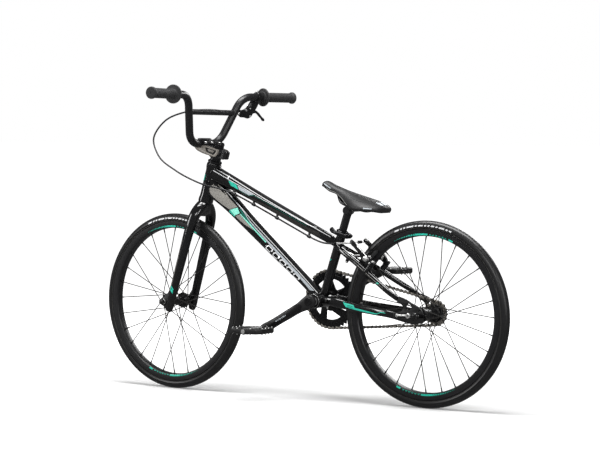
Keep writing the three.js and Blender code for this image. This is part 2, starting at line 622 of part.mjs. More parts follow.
function addFork() {
  const leg = forkLeg();
  const axleSpot = FRONT_AXLE;
  const tab = cut(
    plate(
      [
        ...arc(WHEELBASE, TYRE_R, 12, -100 * DEG, 110 * DEG, 8),
        [WHEELBASE - 26, TYRE_R + 34],
        [WHEELBASE - 30, TYRE_R - 16],
      ],
      50,
      55.5,
    ),
    disc(AXLE_R + GAP, 40, 60, axleSpot, Y_AXIS, 12),
  );
  const crown = loft(
    [
      [-119, 19, 19],
      [-134, 18, 24],
      [-150, 13, 30],
      [-158, 9, 30],
    ].map(([w, a, b]) => ({ c: steerPoint(0, 0, w), u: STEER_FORWARD, v: Y_AXIS, a, b })),
    12,
  );
  const steerer = disc(STEERER_R, -125, 44, STEER_POINT, STEER_UP, 12);
  const tyreRoom = disc(TYRE_R + 6, -20, 20, axleSpot, Y_AXIS, 32);
  const half = union(leg, tab);
  const aboveCrown = disc(40, -119.2, -90, STEER_POINT, STEER_UP, 12);
  const fork = union(cut(union(half, mirrored(half), crown), tyreRoom, aboveCrown), steerer);
  steering.add(piece("fork", fork, GLOSS_BLACK));

  const nut = disc(8.7, 55.5 + GAP, 65, axleSpot, Y_AXIS, 6);
  const axle = union(disc(AXLE_R, -69, 69, axleSpot, Y_AXIS, 12), nut, mirrored(nut));
  steering.add(piece("front_axle", axle, SATIN_BLACK));
}

// An outline of [u, w] points beside the steering axis, as thick as y0 to y1.
function steerPlate(outline, y0, y1) {
  const geometry = extruded(outline, y1 - y0);
  const basis = new THREE.Matrix4().makeBasis(STEER_FORWARD, STEER_UP, STEER_FORWARD.clone().cross(STEER_UP));
  geometry.applyMatrix4(basis);
  const place = steerPoint(0, y1, 0);
  geometry.translate(place.x, place.y, place.z);
  return solid(geometry);
}

const BAR_U = 52.7;
const BAR_W = 41.5;

function addStem() {
  const clampTop = BAR_W - GAP;
  const body = steerPlate(
    [[-12, 19], [58, 20], [66, 25], [71, 33], [71, clampTop], [34, clampTop], [24, 44.5], [-12, 44.5]],
    -23,
    23,
  );
  const barrel = disc(20, 17, 45, STEER_POINT, STEER_UP, 20);
  const ears = steerPlate([[-36, 20], [-10, 19], [-10, 45], [-36, 45]], -13, 13);
  const steererRoom = disc(STEERER_R + GAP, 0, 60, STEER_POINT, STEER_UP, 16);
  const slit = steerPlate([[-50, 10], [-13, 10], [-13, 50], [-50, 50]], -1.2, 1.2);
  const barRoom = rod(steerPoint(BAR_U, -30, BAR_W), steerPoint(BAR_U, 30, BAR_W), BAR_R + GAP, 14);
  steering.add(piece("stem", cut(union(body, barrel, ears), steererRoom, slit, barRoom), GREY_METAL));

  const cap = steerPlate(
    [[35, BAR_W + GAP], [72, BAR_W + GAP], [72, 50], [66, 55], [58, 58.5], [48, 58.5], [40, 55], [35, 51]],
    -23,
    23,
  );
  steering.add(piece("stem_cap", cut(cap, barRoom), SATIN_BLACK));

  const cover = turned(
    bored([[STEERER_R + 0.5, HEAD_TOP_W + 3 + GAP], [20.5, HEAD_TOP_W + 3 + GAP], [20.5, 7], [15.8, 8], [15.8, 16.5],
      [STEERER_R + 0.5, 16.5]]),
    STEER_POINT,
    STEER_UP,
    14,
  );
  steering.add(piece("headset_cover", cover, SATIN_BLACK));
  steering.add(piece("top_cap", disc(16, 45 + GAP, 63, STEER_POINT, STEER_UP, 16), SATIN_BLACK));
}

const BAR_LOW = V(745, 65, 708);
const BAR_HIGH = V(704, 122, 846);
const BAR_END = V(671, 324, 847);
const BEND_R = 55;

function addHandlebar() {
  const left = [BAR_LOW, BAR_HIGH, BAR_END.clone().lerp(BAR_HIGH, 4 / BAR_END.distanceTo(BAR_HIGH))];
  const other = ({ x, y, z }) => V(x, -y, z);
  // The bars' middle run lies in the stem's clamp.
  const corners = [...left.map(other).reverse(), ...left];
  const middle = steerPoint(BAR_U, 0, BAR_W);
  const shift = V(middle.x - BAR_LOW.x, 0, middle.z - BAR_LOW.z);
  corners[2].add(shift);
  corners[3].add(shift);
  const bar = pipe(filleted(corners, BEND_R, 4), BAR_R, 10);
  const joint = BAR_LOW.clone().lerp(BAR_HIGH, (799 - BAR_LOW.z) / (BAR_HIGH.z - BAR_LOW.z));
  const crossbar = rod(other(joint), joint, CROSSBAR_R, 8);
  steering.add(piece("handlebar", union(bar, crossbar), SATIN_BLACK));

  for (const [side, sign] of [["left", 1], ["right", -1]]) {
    const end = V(BAR_END.x, sign * BAR_END.y, BAR_END.z);
    const start = V(BAR_HIGH.x, sign * BAR_HIGH.y, BAR_HIGH.z);
    const inward = start.clone().sub(end).normalize();
    const profile = [[0, 0], [15.5, 0], [17, 3], [17, 8], [14, 12], [14, 118], [26.5, 119], [26.5, 124], [16, 125],
      [16, 128], [BAR_R + GAP, 128], [BAR_R + GAP, 3.5], [0, 3.5]];
    steering.add(piece("grip_" + side, turned(profile, end, inward, 14), RUBBER));
  }
}

// ---------------------------------------------------------------- brake
const LEVER_DROP = 58 * DEG; // how far below level the lever points
const LEVER_SPAN = BAR_END.clone().sub(BAR_HIGH).multiply(V(1, -1, 1)).normalize(); // outward along the right grip
const LEVER_FACE = V(Math.cos(LEVER_DROP), 0, -Math.sin(LEVER_DROP)); // the way the lever hangs from the bar
const LEVER_OUT = LEVER_SPAN.clone().addScaledVector(LEVER_FACE, -LEVER_SPAN.dot(LEVER_FACE)).normalize();
const LEVER_NORMAL = LEVER_OUT.clone().cross(LEVER_FACE).normalize();
const LEVER_BASE = V(BAR_HIGH.x, -BAR_HIGH.y, BAR_HIGH.z).addScaledVector(LEVER_SPAN, 60);
// A point s outward along the grip and f forward of the bar, in the plane that the lever moves in.
const leverPoint = (s, f, n = 0) =>
  LEVER_BASE.clone().addScaledVector(LEVER_OUT, s).addScaledVector(LEVER_FACE, f).addScaledVector(LEVER_NORMAL, n);
const LEVER_PIVOT = leverPoint(0, 60);

function addLever() {
  const barRoom = rod(
    LEVER_BASE.clone().addScaledVector(LEVER_SPAN, -30),
    LEVER_BASE.clone().addScaledVector(LEVER_SPAN, 30),
    BAR_R + GAP,
    14,
  );
  const clamp = rod(
    LEVER_BASE.clone().addScaledVector(LEVER_SPAN, -6),
    LEVER_BASE.clone().addScaledVector(LEVER_SPAN, 6),
    15.5,
    16,
  );
  const slab = (outline, n) => {
    const geometry = extruded(outline, 2 * n).translate(0, 0, -n);
    geometry.applyMatrix4(new THREE.Matrix4().makeBasis(LEVER_OUT, LEVER_FACE, LEVER_NORMAL));
    return solid(geometry.translate(LEVER_BASE.x, LEVER_BASE.y, LEVER_BASE.z));
  };
  const body = slab([[-8, 8], [8, 8], [12, 30], [8, 46], [6, 63], [-1, 69], [-41, 66], [-43, 53], [-25, 49], [-15, 40], [-14, 24]], 7);
  // The pocket is deeper on the blade's side, so the blade stays clear of it when the lever is pulled.
  const pocket = slab([[-12, 53], [-2, 52], [3, 44], [6, 39], [40, 39], [40, 90], [-12, 90]], 4);
  const pin = rod(leverPoint(0, 60, -6), leverPoint(0, 60, 6), 2.5, 8);
  const adjuster = rod(leverPoint(-38, 60), leverPoint(-57, 59.5), 4.5, 8);
  const perch = cut(union(clamp, cut(body, pocket), pin, adjuster), barRoom);
  steering.add(piece("lever_perch", perch, SATIN_BLACK));

  const route = [[0, 60], [8, 53], [19, 47.5], [30, 50.5], [43, 58], [66, 70]].map(([s, f]) => leverPoint(s, f));
  const blade = union(
    pipe(route, 3.4, 8),
    disc(6.5, -3.4, 3.4, LEVER_PIVOT, LEVER_NORMAL, 10),
    rod(leverPoint(0, 60), leverPoint(-7, 63), 3.2, 6),
    disc(4.5, -3.5, 3.5, leverPoint(67, 70.5), LEVER_NORMAL, 8),
  );
  const room = disc(2.5 + GAP, -10, 10, LEVER_PIVOT, LEVER_NORMAL, 8);
  steering.add(piece("brake_lever", cut(blade, room), SATIN_BLACK));
}

function addRearBrake() {
  for (const [side, sign] of [["left", 1], ["right", -1]]) {
    const at = (r, y, t) => brakePoint(r, sign * y, t);
    const barrel = cut(
      rod(at(BRAKE_PIVOT_R, BRAKE_PIVOT_Y, -7.5), at(BRAKE_PIVOT_R, BRAKE_PIVOT_Y, 10), 7.5, 12),
      rod(at(BRAKE_PIVOT_R, BRAKE_PIVOT_Y, -9), at(BRAKE_PIVOT_R, BRAKE_PIVOT_Y, 9.5), 4.0, 12),
    );
    const spine = loft(
      [[206, 41, 6.5], [222, 41, 7], [250, 39, 6], [280, 36, 5.5], [292, 35, 5]].map(([r, y, a]) => ({
        c: at(r, y, 2),
        u: BRAKE_UP,
        v: Y_AXIS,
        a: a * 1.3,
        b: 5,
      })),
      8,
      Math.PI / 8,
    );
    const padRoom = rod(at(PAD_R, 20, 2), at(PAD_R, 60, 2), 3.2 + GAP, 10);
    root.add(piece("brake_arm_" + side, cut(union(barrel, spine), padRoom), SATIN_BLACK));

    const shoe = loft(
      [-27, 27].map((t) => ({ c: at(PAD_R, 19.5, t + 2), u: BRAKE_OUT, v: Y_AXIS, a: 6.5, b: 6.5 })),
      4,
      Math.PI / 4,
    );
    const post = rod(at(PAD_R, 21, 2), at(PAD_R, 54, 2), 3.2, 10);
    const nut = rod(at(PAD_R, 47, 2), at(PAD_R, 52, 2), 6.2, 6);
    root.add(piece("brake_pad_" + side, union(shoe, post, nut), RUBBER));
  }
}

// The steel guide that turns the cable through a right angle above the brake.
const NOODLE = [
  [270, 26, 438], [255, 26, 439], [240, 26, 440], [226, 26, 441], [217.5, 24, 442], [214.5, 18, 442.5],
  [214, 8, 442.5],
];

// The cable's housing along the left underside of the top tube, through its clips, to the noodle.
const HOUSING = [
  [619.4, 19, 566], [600, 15, 557], [560, 14, 539], [520, 14, 521], [480, 14, 503], [440, 14, 484.8],
  [405, 14, 469], [372, 14, 454], [345, 16, 444], [322, 20, 438.5], [300, 24, 437], [275, 26, 437.8],
];

// The free loop of housing from the brake lever, round the front of the bars and back to the frame.
const LOOP = [
  [726.4, -127, 798.2], [735, -98, 802], [775, -60, 807], [831, -25, 800], [885, -2, 775], [914, 15, 725],
  [888, 28, 676], [819, 38, 633], [762, 42, 609], [709, 42, 592], [662, 33, 582], [632.4, 19, 571.8],
];

function cable(rows, radius, steps) {
  const curve = new THREE.CatmullRomCurve3(rows.map(([x, y, z]) => V(x, y, z)), false, "centripetal");
  const section = new THREE.Shape(arc(0, 0, radius, 0, 2 * Math.PI * (7 / 8), 7).map(([x, y]) => new THREE.Vector2(x, y)));
  return solid(new THREE.ExtrudeGeometry(section, { steps, extrudePath: curve, bevelEnabled: false }));
}

function addCable() {
  root.add(piece("brake_noodle", cable(NOODLE, 2.4, 12), STEEL));
  root.add(piece("brake_housing", cable(HOUSING, CABLE_R, 28), RUBBER));
  root.add(piece("brake_cable_loop", cable(LOOP, CABLE_R, 60), RUBBER));
}

// ---------------------------------------------------------------- saddle
function addSaddle() {
  const post = union(
    disc(POST_R, 62, 266, SEAT_FOOT, SEAT_UP, 16),
    loft([260, 279].map((s) => ({ c: seatPoint(0, 0, s), u: SEAT_FORWARD, v: Y_AXIS, a: 17, b: 40 })), 4, Math.PI / 4),
  );
  const NOSE = V(335, 0, 605);
  const TAIL = V(119, 0, 541);
  const along = TAIL.clone().sub(NOSE).normalize();
  const up = V(-along.z, 0, along.x).multiplyScalar(-1);
  const spot = (t, y, h) => NOSE.clone().addScaledVector(along, t).addScaledVector(up, h).add(V(0, y, 0));
  const railPath = [[188, 22, -27], [150, 22, -37], [90, 22, -37], [52, 12, -24], [40, 7, -19]];
  const rails = [
    ...railPath.map(([t, y, h]) => spot(t, y, h)),
    spot(34, 0, -18),
    ...railPath.slice().reverse().map(([t, y, h]) => spot(t, -y, h)),
  ];
  const railBody = pipe(rails, 3.5, 8);
  root.add(piece("seatpost", cut(post, pipe(rails, 3.5 + GAP, 8)), SATIN_BLACK));
  root.add(piece("saddle_rails", railBody, SATIN_BLACK));

  // Sections from nose to tail: distance, half-width, crown height above the edge, edge thickness.
  const SECTIONS = [
    [4, 8, 5, 8, 1],
    [11, 13, 8, 8, 7],
    [24, 16, 11, 8, 8],
    [60, 19, 12, 6, 4],
    [84, 23, 18, 6, 3],
    [111, 38, 26, 6, 3],
    [145, 56, 30, 6, 3],
    [176, 60, 24, 6, 3],
    [200, 52, 13, 6, 0],
    [222, 32, 6, 5, -2],
  ];
  const outline = [[0, 1], [0.38, 0.93], [0.72, 0.66], [0.94, 0.28], [1, 0], [0.97, -1], [0.5, -0.55]];
  const full = [...outline, [0, -0.2], ...outline.slice(1).reverse().map(([x, h]) => [-x, h])];
  const geometry = new THREE.CylinderGeometry(1, 1, 1, full.length, SECTIONS.length - 1);
  const position = geometry.attributes.position;
  for (let i = 0; i < position.count; i++) {
    const [t, w, h, e, lift] = SECTIONS[Math.round((0.5 - position.getY(i)) * (SECTIONS.length - 1))];
    const radius = Math.hypot(position.getX(i), position.getZ(i));
    const turn = Math.atan2(position.getX(i), position.getZ(i));
    const index = Math.round((turn / (2 * Math.PI)) * full.length + full.length) % full.length;
    const [x, k] = radius < 0.5 ? [0, 0.2] : full[index];
    const p = spot(t, x * w, lift - h + (k > 0 ? k * h : k * e));
    position.setXYZ(i, p.x, p.y, p.z);
  }
  const railRoom = pipe(rails, 3.5 + GAP, 8);
  root.add(piece("saddle", cut(solid(geometry), railRoom), SEAT_COVER));
}

// ---------------------------------------------------------------- assembly
addHeadTube();
addMainTubes();
addStays();
addRearEnds();
addBottomBracket();
addSeatCollar();
addChain();
wheel("rear", REAR_AXLE, root, REAR_HUB);
wheel("front", FRONT_AXLE, steering, FRONT_HUB);
addFreewheel();
addCranks();
addFork();
addStem();
addHandlebar();
addLever();
addRearBrake();
addCable();
addSaddle();

export default root;
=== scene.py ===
# The looks of a BMX race bike. Lengths are in millimetres until piece() turns them into metres.
# +X is forward, +Y is the rider's left, +Z is up, and the origin is under the rear axle, on the ground.
from math import acos, asin, atan2, copysign, cos, hypot, pi, radians, sin, tan

import bmesh
import bpy
from mathutils import Matrix, Vector


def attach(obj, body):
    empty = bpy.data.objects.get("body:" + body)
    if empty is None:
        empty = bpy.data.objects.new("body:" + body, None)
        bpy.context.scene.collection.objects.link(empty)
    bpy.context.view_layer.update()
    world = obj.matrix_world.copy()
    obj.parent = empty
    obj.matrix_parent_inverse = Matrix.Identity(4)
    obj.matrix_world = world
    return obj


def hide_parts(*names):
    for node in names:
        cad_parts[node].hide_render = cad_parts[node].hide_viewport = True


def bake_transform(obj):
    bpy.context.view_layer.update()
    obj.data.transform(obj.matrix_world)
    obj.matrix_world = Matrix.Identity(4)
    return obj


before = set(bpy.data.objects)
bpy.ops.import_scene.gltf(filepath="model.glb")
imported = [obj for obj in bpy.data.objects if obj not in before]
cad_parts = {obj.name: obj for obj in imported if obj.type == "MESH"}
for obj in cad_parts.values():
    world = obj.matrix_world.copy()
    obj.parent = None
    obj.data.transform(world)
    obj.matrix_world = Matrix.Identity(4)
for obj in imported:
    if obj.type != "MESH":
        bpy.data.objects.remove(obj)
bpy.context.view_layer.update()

MM = 0.001
FORWARD, LEFT, UP = Vector((1, 0, 0)), Vector((0, 1, 0)), Vector((0, 0, 1))

# ---------------------------------------------------------------- driving dimensions, as in the CAD model
WHEELBASE = 848
TYRE_R = 253.5
AXLE_HEIGHT = TYRE_R
STEER_POINT = Vector((706, 0, 654))
HEAD_ANGLE = radians(73.6)
STEER_UP = Vector((-cos(HEAD_ANGLE), 0, sin(HEAD_ANGLE)))
STEER_FORWARD = Vector((sin(HEAD_ANGLE), 0, cos(HEAD_ANGLE)))
HEAD_TOP, HEAD_BOTTOM = -4, -116
SEAT_ANGLE = radians(71.4)
SEAT_FOOT = Vector((335, 0, 277))
SEAT_UP = Vector((-cos(SEAT_ANGLE), 0, sin(SEAT_ANGLE)))
SEAT_FORWARD = Vector((sin(SEAT_ANGLE), 0, cos(SEAT_ANGLE)))
COLLAR_S = 199
BB = Vector((338, 0, 277))
HEAD_TUBE_R, SEAT_TUBE_R, BB_SHELL_R = 19.8, 12.7, 20
REAR_AXLE = Vector((0, 0, AXLE_HEIGHT))
FRONT_AXLE = Vector((WHEELBASE, 0, AXLE_HEIGHT))
CRANK_LENGTH = 170
CHAINRING_TEETH, COG_TEETH = 40, 16
CRANK_ANGLE = radians(-28.8)
PITCH = 12.7
CHAIN_Y = -47
BAR_R = 11.1
CABLE_R, NOODLE_R, WIRE_R = 2.5, 2.4, 0.8
BRAKE_ANGLE = radians(41)
BRAKE_PIVOT_R, BRAKE_PIVOT_Y, PAD_R = 200, 40, 222
PAD_BEND_R = TYRE_R - 27  # the radius that the pads are bent to
DROPOUT_Y = 55


def axes(origin, x, y, z):
    """The matrix that takes a local x, y, z to these directions from origin."""
    turn = Matrix((x, y, z)).transposed().to_4x4()
    return Matrix.Translation(origin) @ turn


# The bars and front wheel are turned slightly to the right.
TURN = (
    Matrix.Translation(STEER_POINT)
    @ Matrix.Rotation(radians(-2.9), 4, STEER_UP)
    @ Matrix.Translation(-STEER_POINT)
)
STEER = TURN @ axes(STEER_POINT, STEER_FORWARD, LEFT, STEER_UP)
SEAT = axes(SEAT_FOOT, SEAT_FORWARD, LEFT, SEAT_UP)
BRAKE_OUT = Vector((cos(BRAKE_ANGLE), 0, sin(BRAKE_ANGLE)))
BRAKE_UP = Vector((-sin(BRAKE_ANGLE), 0, cos(BRAKE_ANGLE)))
BRAKE = axes(REAR_AXLE, BRAKE_OUT, LEFT, BRAKE_UP)
SIDES = ((1, "left"), (-1, "right"))


def flip(side):
    """Leaves the left side, 1, as it is, and mirrors what is made for it onto the right side, -1."""
    return Matrix.Diagonal((1, side, 1, 1))


def facing(origin, direction):
    """The matrix that takes local +Y to this direction from origin."""
    turn = LEFT.rotation_difference(Vector(direction)).to_matrix().to_4x4()
    return Matrix.Translation(origin) @ turn


def outward(side):
    """The matrix that takes local +Y to the left or to the right."""
    return facing((0, 0, 0), (0, side, 0))


UPRIGHT = facing((0, 0, 0), UP)
STEER_AXIS, SEAT_AXIS = facing(STEER_POINT, STEER_UP), facing(SEAT_FOOT, SEAT_UP)


def node(tree, kind, **inputs):
    """A new shader node with these inputs. An underscore in an input's name stands for a space."""
    made = tree.nodes.new("ShaderNode" + kind)
    for name, value in inputs.items():
        made.inputs[name.replace("_", " ")].default_value = value
    return made


def wire(tree, *ends):
    """Links from each two of a row of (node, output name, node, input name)."""
    for source, output, target, entry in ends:
        tree.links.new(source.outputs[output], target.inputs[entry])


def look(name, colour, roughness, metallic=0.0, spread=0.15, scale=300, bump=0.02, coat=0.0,
         stretch=1.0):
    """A material whose colour, roughness and relief vary with a noise of this scale. bump is in mm."""
    material = bpy.data.materials.new(name)
    material.use_nodes = True
    tree = material.node_tree
    shader = tree.nodes["Principled BSDF"]
    coordinates = node(tree, "TexCoord")
    mapping = node(tree, "Mapping", Scale=(1, stretch, 1))
    noise = node(tree, "TexNoise", Scale=scale, Detail=4)
    ramp = node(tree, "ValToRGB")
    for end, place, factor in zip(ramp.color_ramp.elements, (0.3, 0.7), (1 - spread, 1 + spread)):
        end.color = [min(1, c * factor) for c in colour] + [1]
        end.position = place
    rough = node(tree, "MapRange", To_Min=max(0.02, roughness - 0.06), To_Max=min(1, roughness + 0.06))
    wire(tree, (coordinates, "Object", mapping, "Vector"), (mapping, "Vector", noise, "Vector"),
         (noise, "Fac", ramp, "Fac"), (ramp, "Color", shader, "Base Color"),
         (noise, "Fac", rough, "Value"), (rough, "Result", shader, "Roughness"))
    if bump:
        relief = node(tree, "Bump", Distance=bump * MM)
        wire(tree, (noise, "Fac", relief, "Height"), (relief, "Normal", shader, "Normal"))
    for entry, value in (("Metallic", metallic), ("Coat Weight", coat), ("Coat Roughness", 0.06)):
        shader.inputs[entry].default_value = value
    material.diffuse_color = (*colour, 1)
    return material


def printed(name, colour, roughness=0.3, metallic=0.0, spread=0.05, coat=0.3):
    """The look of a mark under the frame's clear coat."""
    return look(name, colour, roughness, metallic, spread, scale=40, bump=0, coat=coat)


PAINT = look("gloss_black", (0.004, 0.004, 0.0045), 0.13, coat=0.6, scale=40, bump=0)
SATIN = look("satin_black", (0.008, 0.008, 0.009), 0.34, scale=300, bump=0.004)
FORGED = look("forged_black", (0.009, 0.009, 0.0095), 0.4, scale=500, bump=0.008)
ANODISED = look("black_anodised", (0.01, 0.01, 0.011), 0.27, 0.4, scale=300, bump=0)
TYRE = look("tyre_rubber", (0.009, 0.009, 0.0095), 0.36, spread=0.2, scale=350, bump=0.006)
RUBBER = look("soft_rubber", (0.018, 0.018, 0.019), 0.62, spread=0.15, scale=900, bump=0.012)
HOUSING_LOOK = look("cable_housing", (0.01, 0.01, 0.011), 0.36, scale=300, bump=0)
STEEL = look("bright_steel", (0.78, 0.78, 0.77), 0.3, 0.85, scale=500, bump=0, stretch=8)
SPOKE = look("spoke_steel", (0.025, 0.024, 0.023), 0.45, 0.3, scale=300, bump=0)
CHAIN_DARK = look("chain_inner_steel", (0.07, 0.065, 0.058), 0.4, 0.7, spread=0.3, scale=400,
                  bump=0.01)
CHAIN_LIGHT = look("chain_outer_steel", (0.32, 0.3, 0.27), 0.36, 0.7, spread=0.3, scale=400,
                   bump=0.01)
GREY = look("stem_grey", (0.2, 0.185, 0.165), 0.38, 0.35, spread=0.08, scale=500, bump=0.003)
COVER = look("saddle_cover", (0.011, 0.011, 0.0115), 0.5, spread=0.2, scale=1800, bump=0.02)
MINT = printed("mint_mark", (0.012, 0.5, 0.36))
PALE_MINT = printed("pale_mint_mark", (0.25, 0.78, 0.62), spread=0.04)
TAUPE = printed("warm_grey_mark", (0.25, 0.24, 0.22))
# Silver print on the frame and cranks; on the saddle the same look paints highlights along the edges of the
# nose and the tail.
SILVER_PRINT_AND_HIGHLIGHT = printed("silver_print_and_painted_highlight", (0.45, 0.49, 0.52), metallic=0.2)
WHITE = printed("white_mark", (0.75, 0.76, 0.77), 0.35, spread=0.03)
GRAPHITE = printed("graphite_mark", (0.02, 0.019, 0.018), 0.25, spread=0.15, coat=0.4)
DEEP_MINT = printed("deep_mint_mark", (0.006, 0.11, 0.08), spread=0.15)
# A lighter colour for the ring near the rim on each tyre sidewall: a painted highlight.
TYRE_HIGHLIGHT_RING = look("tyre_painted_highlight", (0.05, 0.048, 0.045), 0.4, scale=200, bump=0)
PIPING = look("light_piping", (0.2, 0.2, 0.19), 0.5, spread=0.1, scale=200, bump=0)


# ---------------------------------------------------------------- shapes
class Shape:
    """Points in millimetres and faces, each face with the number of its material."""

    def __init__(self):
        self.points, self.faces, self.slots = [], [], []

    def add(self, part, slot=0, matrix=None):
        points, faces = part
        base = len(self.points)
        self.points += [matrix @ Vector(p) if matrix else Vector(p) for p in points]
        self.faces += [[base + i for i in face] for face in faces]
        self.slots += [slot] * len(faces)
        return self

    def socket_bolt(self, radius, height, slot, matrix):
        """A bolt head that stands on local y = 0, with a hexagonal socket in it."""
        hole, face = radius * 0.5, height - 0.2
        outer = [(hole, face), (radius - 0.5, height), (radius, height - 0.5), (radius, 0), (hole, 0),
                 (hole, face)]
        self.add(lathe(outer, 6 * 5), slot, matrix)
        floor = [(0, 0), (radius * 0.56, 0), (radius * 0.56, height * 0.45), (0, height * 0.45)]
        self.add(lathe(floor, 6), slot, matrix)


def piece(name, shape, looks, body, stands_for=(), crease=35, matrix=None):
    """Makes the object, in metres, that rides on a body and stands for CAD nodes."""
    mesh = bpy.data.meshes.new(name)
    mesh.from_pydata([(matrix @ p if matrix else p) * MM for p in shape.points], [], shape.faces)
    mesh.polygons.foreach_set("material_index", shape.slots)
    work = bmesh.new()
    work.from_mesh(mesh)
    bmesh.ops.remove_doubles(work, verts=work.verts, dist=0.002 * MM)
    bmesh.ops.recalc_face_normals(work, faces=work.faces)
    work.to_mesh(mesh)
    work.free()
    for each in looks:
        mesh.materials.append(each)
    mesh.shade_smooth()
    mesh.set_sharp_from_angle(angle=radians(crease))
    made = bpy.data.objects.new(name, mesh)
    bpy.context.scene.collection.objects.link(made)
    if body:
        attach(made, body)
    if stands_for:
        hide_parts(*stands_for)
    return made


def oval(centre, u, v, a, b, sides=32, power=2.0):
    """A closed section with half-axes a along u and b along v, squarer as power grows."""
    section = []
    for i in range(sides):
        c, s = cos(2 * pi * i / sides), sin(2 * pi * i / sides)
        x, y = copysign(abs(c) ** (2 / power), c), copysign(abs(s) ** (2 / power), s)
        section.append(centre + u * (a * x) + v * (b * y))
    return section


def loft(sections, closed=False):
    """A skin over sections that have the same number of points, with flat ends unless it closes on itself."""
    n, count = len(sections[0]), len(sections)
    points = [p for section in sections for p in section]
    faces = []
    for i in range(count if closed else count - 1):
        row, following = i * n, (i + 1) % count * n
        for j in range(n):
            k = (j + 1) % n
            faces.append((row + j, row + k, following + k, following + j))
    if not closed:
        faces.append(tuple(reversed(range(n))))
        faces.append(tuple((count - 1) * n + j for j in range(n)))
    return points, faces


def directions(path, closed=False):
    """The unit direction of a path at each of its points."""
    n = len(path)
    if closed:
        return [(path[(i + 1) % n] - path[i - 1]).normalized() for i in range(n)]
    return [(path[min(i + 1, n - 1)] - path[max(i - 1, 0)]).normalized() for i in range(n)]


def locate(rows, x):
    """The row before x, and x's share of the way to the next. Rows rise or fall in their first value."""
    sense = 1 if rows[-1][0] > rows[0][0] else -1
    i = next((k for k in range(len(rows) - 2) if (rows[k + 1][0] - x) * sense >= 0), len(rows) - 2)
    return i, (x - rows[i][0]) / (rows[i + 1][0] - rows[i][0])


def tube(path, radius, sides=16, closed=False):
    """A round tube along points. radius is a number, or a list with one for each point."""
    path = [Vector(p) for p in path]
    sections, side = [], None
    for i, (centre, along) in enumerate(zip(path, directions(path, closed))):
        side = along.orthogonal() if side is None else side
        side = (side - along * side.dot(along)).normalized()
        r = radius[i] if isinstance(radius, list) else radius
        sections.append(oval(centre, side, along.cross(side), r, r, sides))
    return loft(sections, closed)


def spline(rows, steps=8, closed=False):
    """A smooth run of rows of numbers through the given ones, with the same even steps between each two."""
    rows = [Vector(r) if len(r) in (2, 3, 4) else r for r in rows]
    n = len(rows)

    def gap(i, j):
        return max(1e-6, (rows[j] - rows[i]).length)

    def slope(i):
        before, after = (i - 1) % n, (i + 1) % n
        if not closed and i == 0:
            return (rows[1] - rows[0]) / gap(0, 1)
        if not closed and i == n - 1:
            return (rows[i] - rows[i - 1]) / gap(i - 1, i)
        near, far = gap(before, i), gap(i, after)
        return ((rows[i] - rows[before]) / near * far + (rows[after] - rows[i]) / far * near) / (near + far)

    out = []
    for i in range(n if closed else n - 1):
        j = (i + 1) % n
        length, m0, m1 = gap(i, j), slope(i), slope(j)
        for k in range(steps):
            t = k / steps
            a, b = 2 * t**3 - 3 * t**2 + 1, t**3 - 2 * t**2 + t
            c, d = -2 * t**3 + 3 * t**2, t**3 - t**2
            out.append(rows[i] * a + m0 * (b * length) + rows[j] * c + m1 * (d * length))
    return out if closed else [*out, rows[-1]]


def rounded(corners, radius, steps=10):
    """Straight runs between corners, joined by arcs of one radius."""
    corners = [Vector(c) for c in corners]
    path = [corners[0]]
    for before, corner, after in zip(corners, corners[1:], corners[2:]):
        back, on = (before - corner).normalized(), (after - corner).normalized()
        half = back.angle(on) / 2
        centre = corner + (back + on).normalized() * (radius / sin(half))
        first = corner + back * (radius / tan(half)) - centre
        last = corner + on * (radius / tan(half)) - centre
        sweep = first.angle(last)
        for k in range(steps + 1):
            t = k / steps
            path.append(centre + (first * sin((1 - t) * sweep) + last * sin(t * sweep)) / sin(sweep))
    return [*path, corners[-1]]


def lathe(profile, sides=48):
    """A solid of revolution about Y, from (radius, y) points that end on the axis or close on themselves."""
    closed = profile[0] == profile[-1]
    rows = [row for row in (profile[:-1] if closed else profile) if row[0] > 0]
    turns = [2 * pi * j / sides for j in range(sides)]
    sections = [[Vector((r * sin(a), y, r * cos(a))) for a in turns] for r, y in rows]
    return loft(sections, closed)


def disc(radius, y0, y1, edge=0.6, sides=32):
    """A round slab about Y with its rims eased."""
    return lathe([(0, y0), (radius - edge, y0), (radius, y0 + edge), (radius, y1 - edge), (radius - edge, y1),
                  (0, y1)], sides)


def ring(inner, outer, y0, y1, edge=0.5, sides=40):
    rim = [(outer - edge, y0), (outer, y0 + edge), (outer, y1 - edge), (outer - edge, y1)]
    return lathe([(inner, y0), *rim, (inner, y1), (inner, y0)], sides)


def hex_nut(radius, height):
    return lathe([(0, 0), (radius, 0), (radius, height - 0.8), (radius - 1, height), (0, height)], 6)


def arc(cx, cz, r, start, end, steps):
    return [
        (cx + r * cos(start + (end - start) * i / steps), cz + r * sin(start + (end - start) * i / steps))
        for i in range(steps + 1)
    ]


def plate(outlines, y0, y1, bevel=0.5):
    """Outlines of (x, z) points, the first with the others as holes in it, as thick as y0 to y1."""
    curve = bpy.data.curves.new("outline", "CURVE")
    curve.dimensions = "2D"
    curve.fill_mode = "BOTH"
    curve.extrude = abs(y1 - y0) / 2 - bevel
    curve.bevel_depth = bevel
    curve.bevel_resolution = 1
    curve.offset = -bevel
    for outline in outlines:
        path = curve.splines.new("POLY")
        path.points.add(len(outline) - 1)
        for point, (x, z) in zip(path.points, outline):
            point.co = (x, z, 0, 1)
        path.use_cyclic_u = True
    holder = bpy.data.objects.new("outline", curve)
    mesh = bpy.data.meshes.new_from_object(holder)
    middle = (y0 + y1) / 2
    points = [Vector((v.co.x, middle - v.co.z, v.co.y)) for v in mesh.vertices]
    faces = [tuple(p.vertices) for p in mesh.polygons]
    bpy.data.objects.remove(holder)
    bpy.data.curves.remove(curve)
    bpy.data.meshes.remove(mesh)
    return points, faces


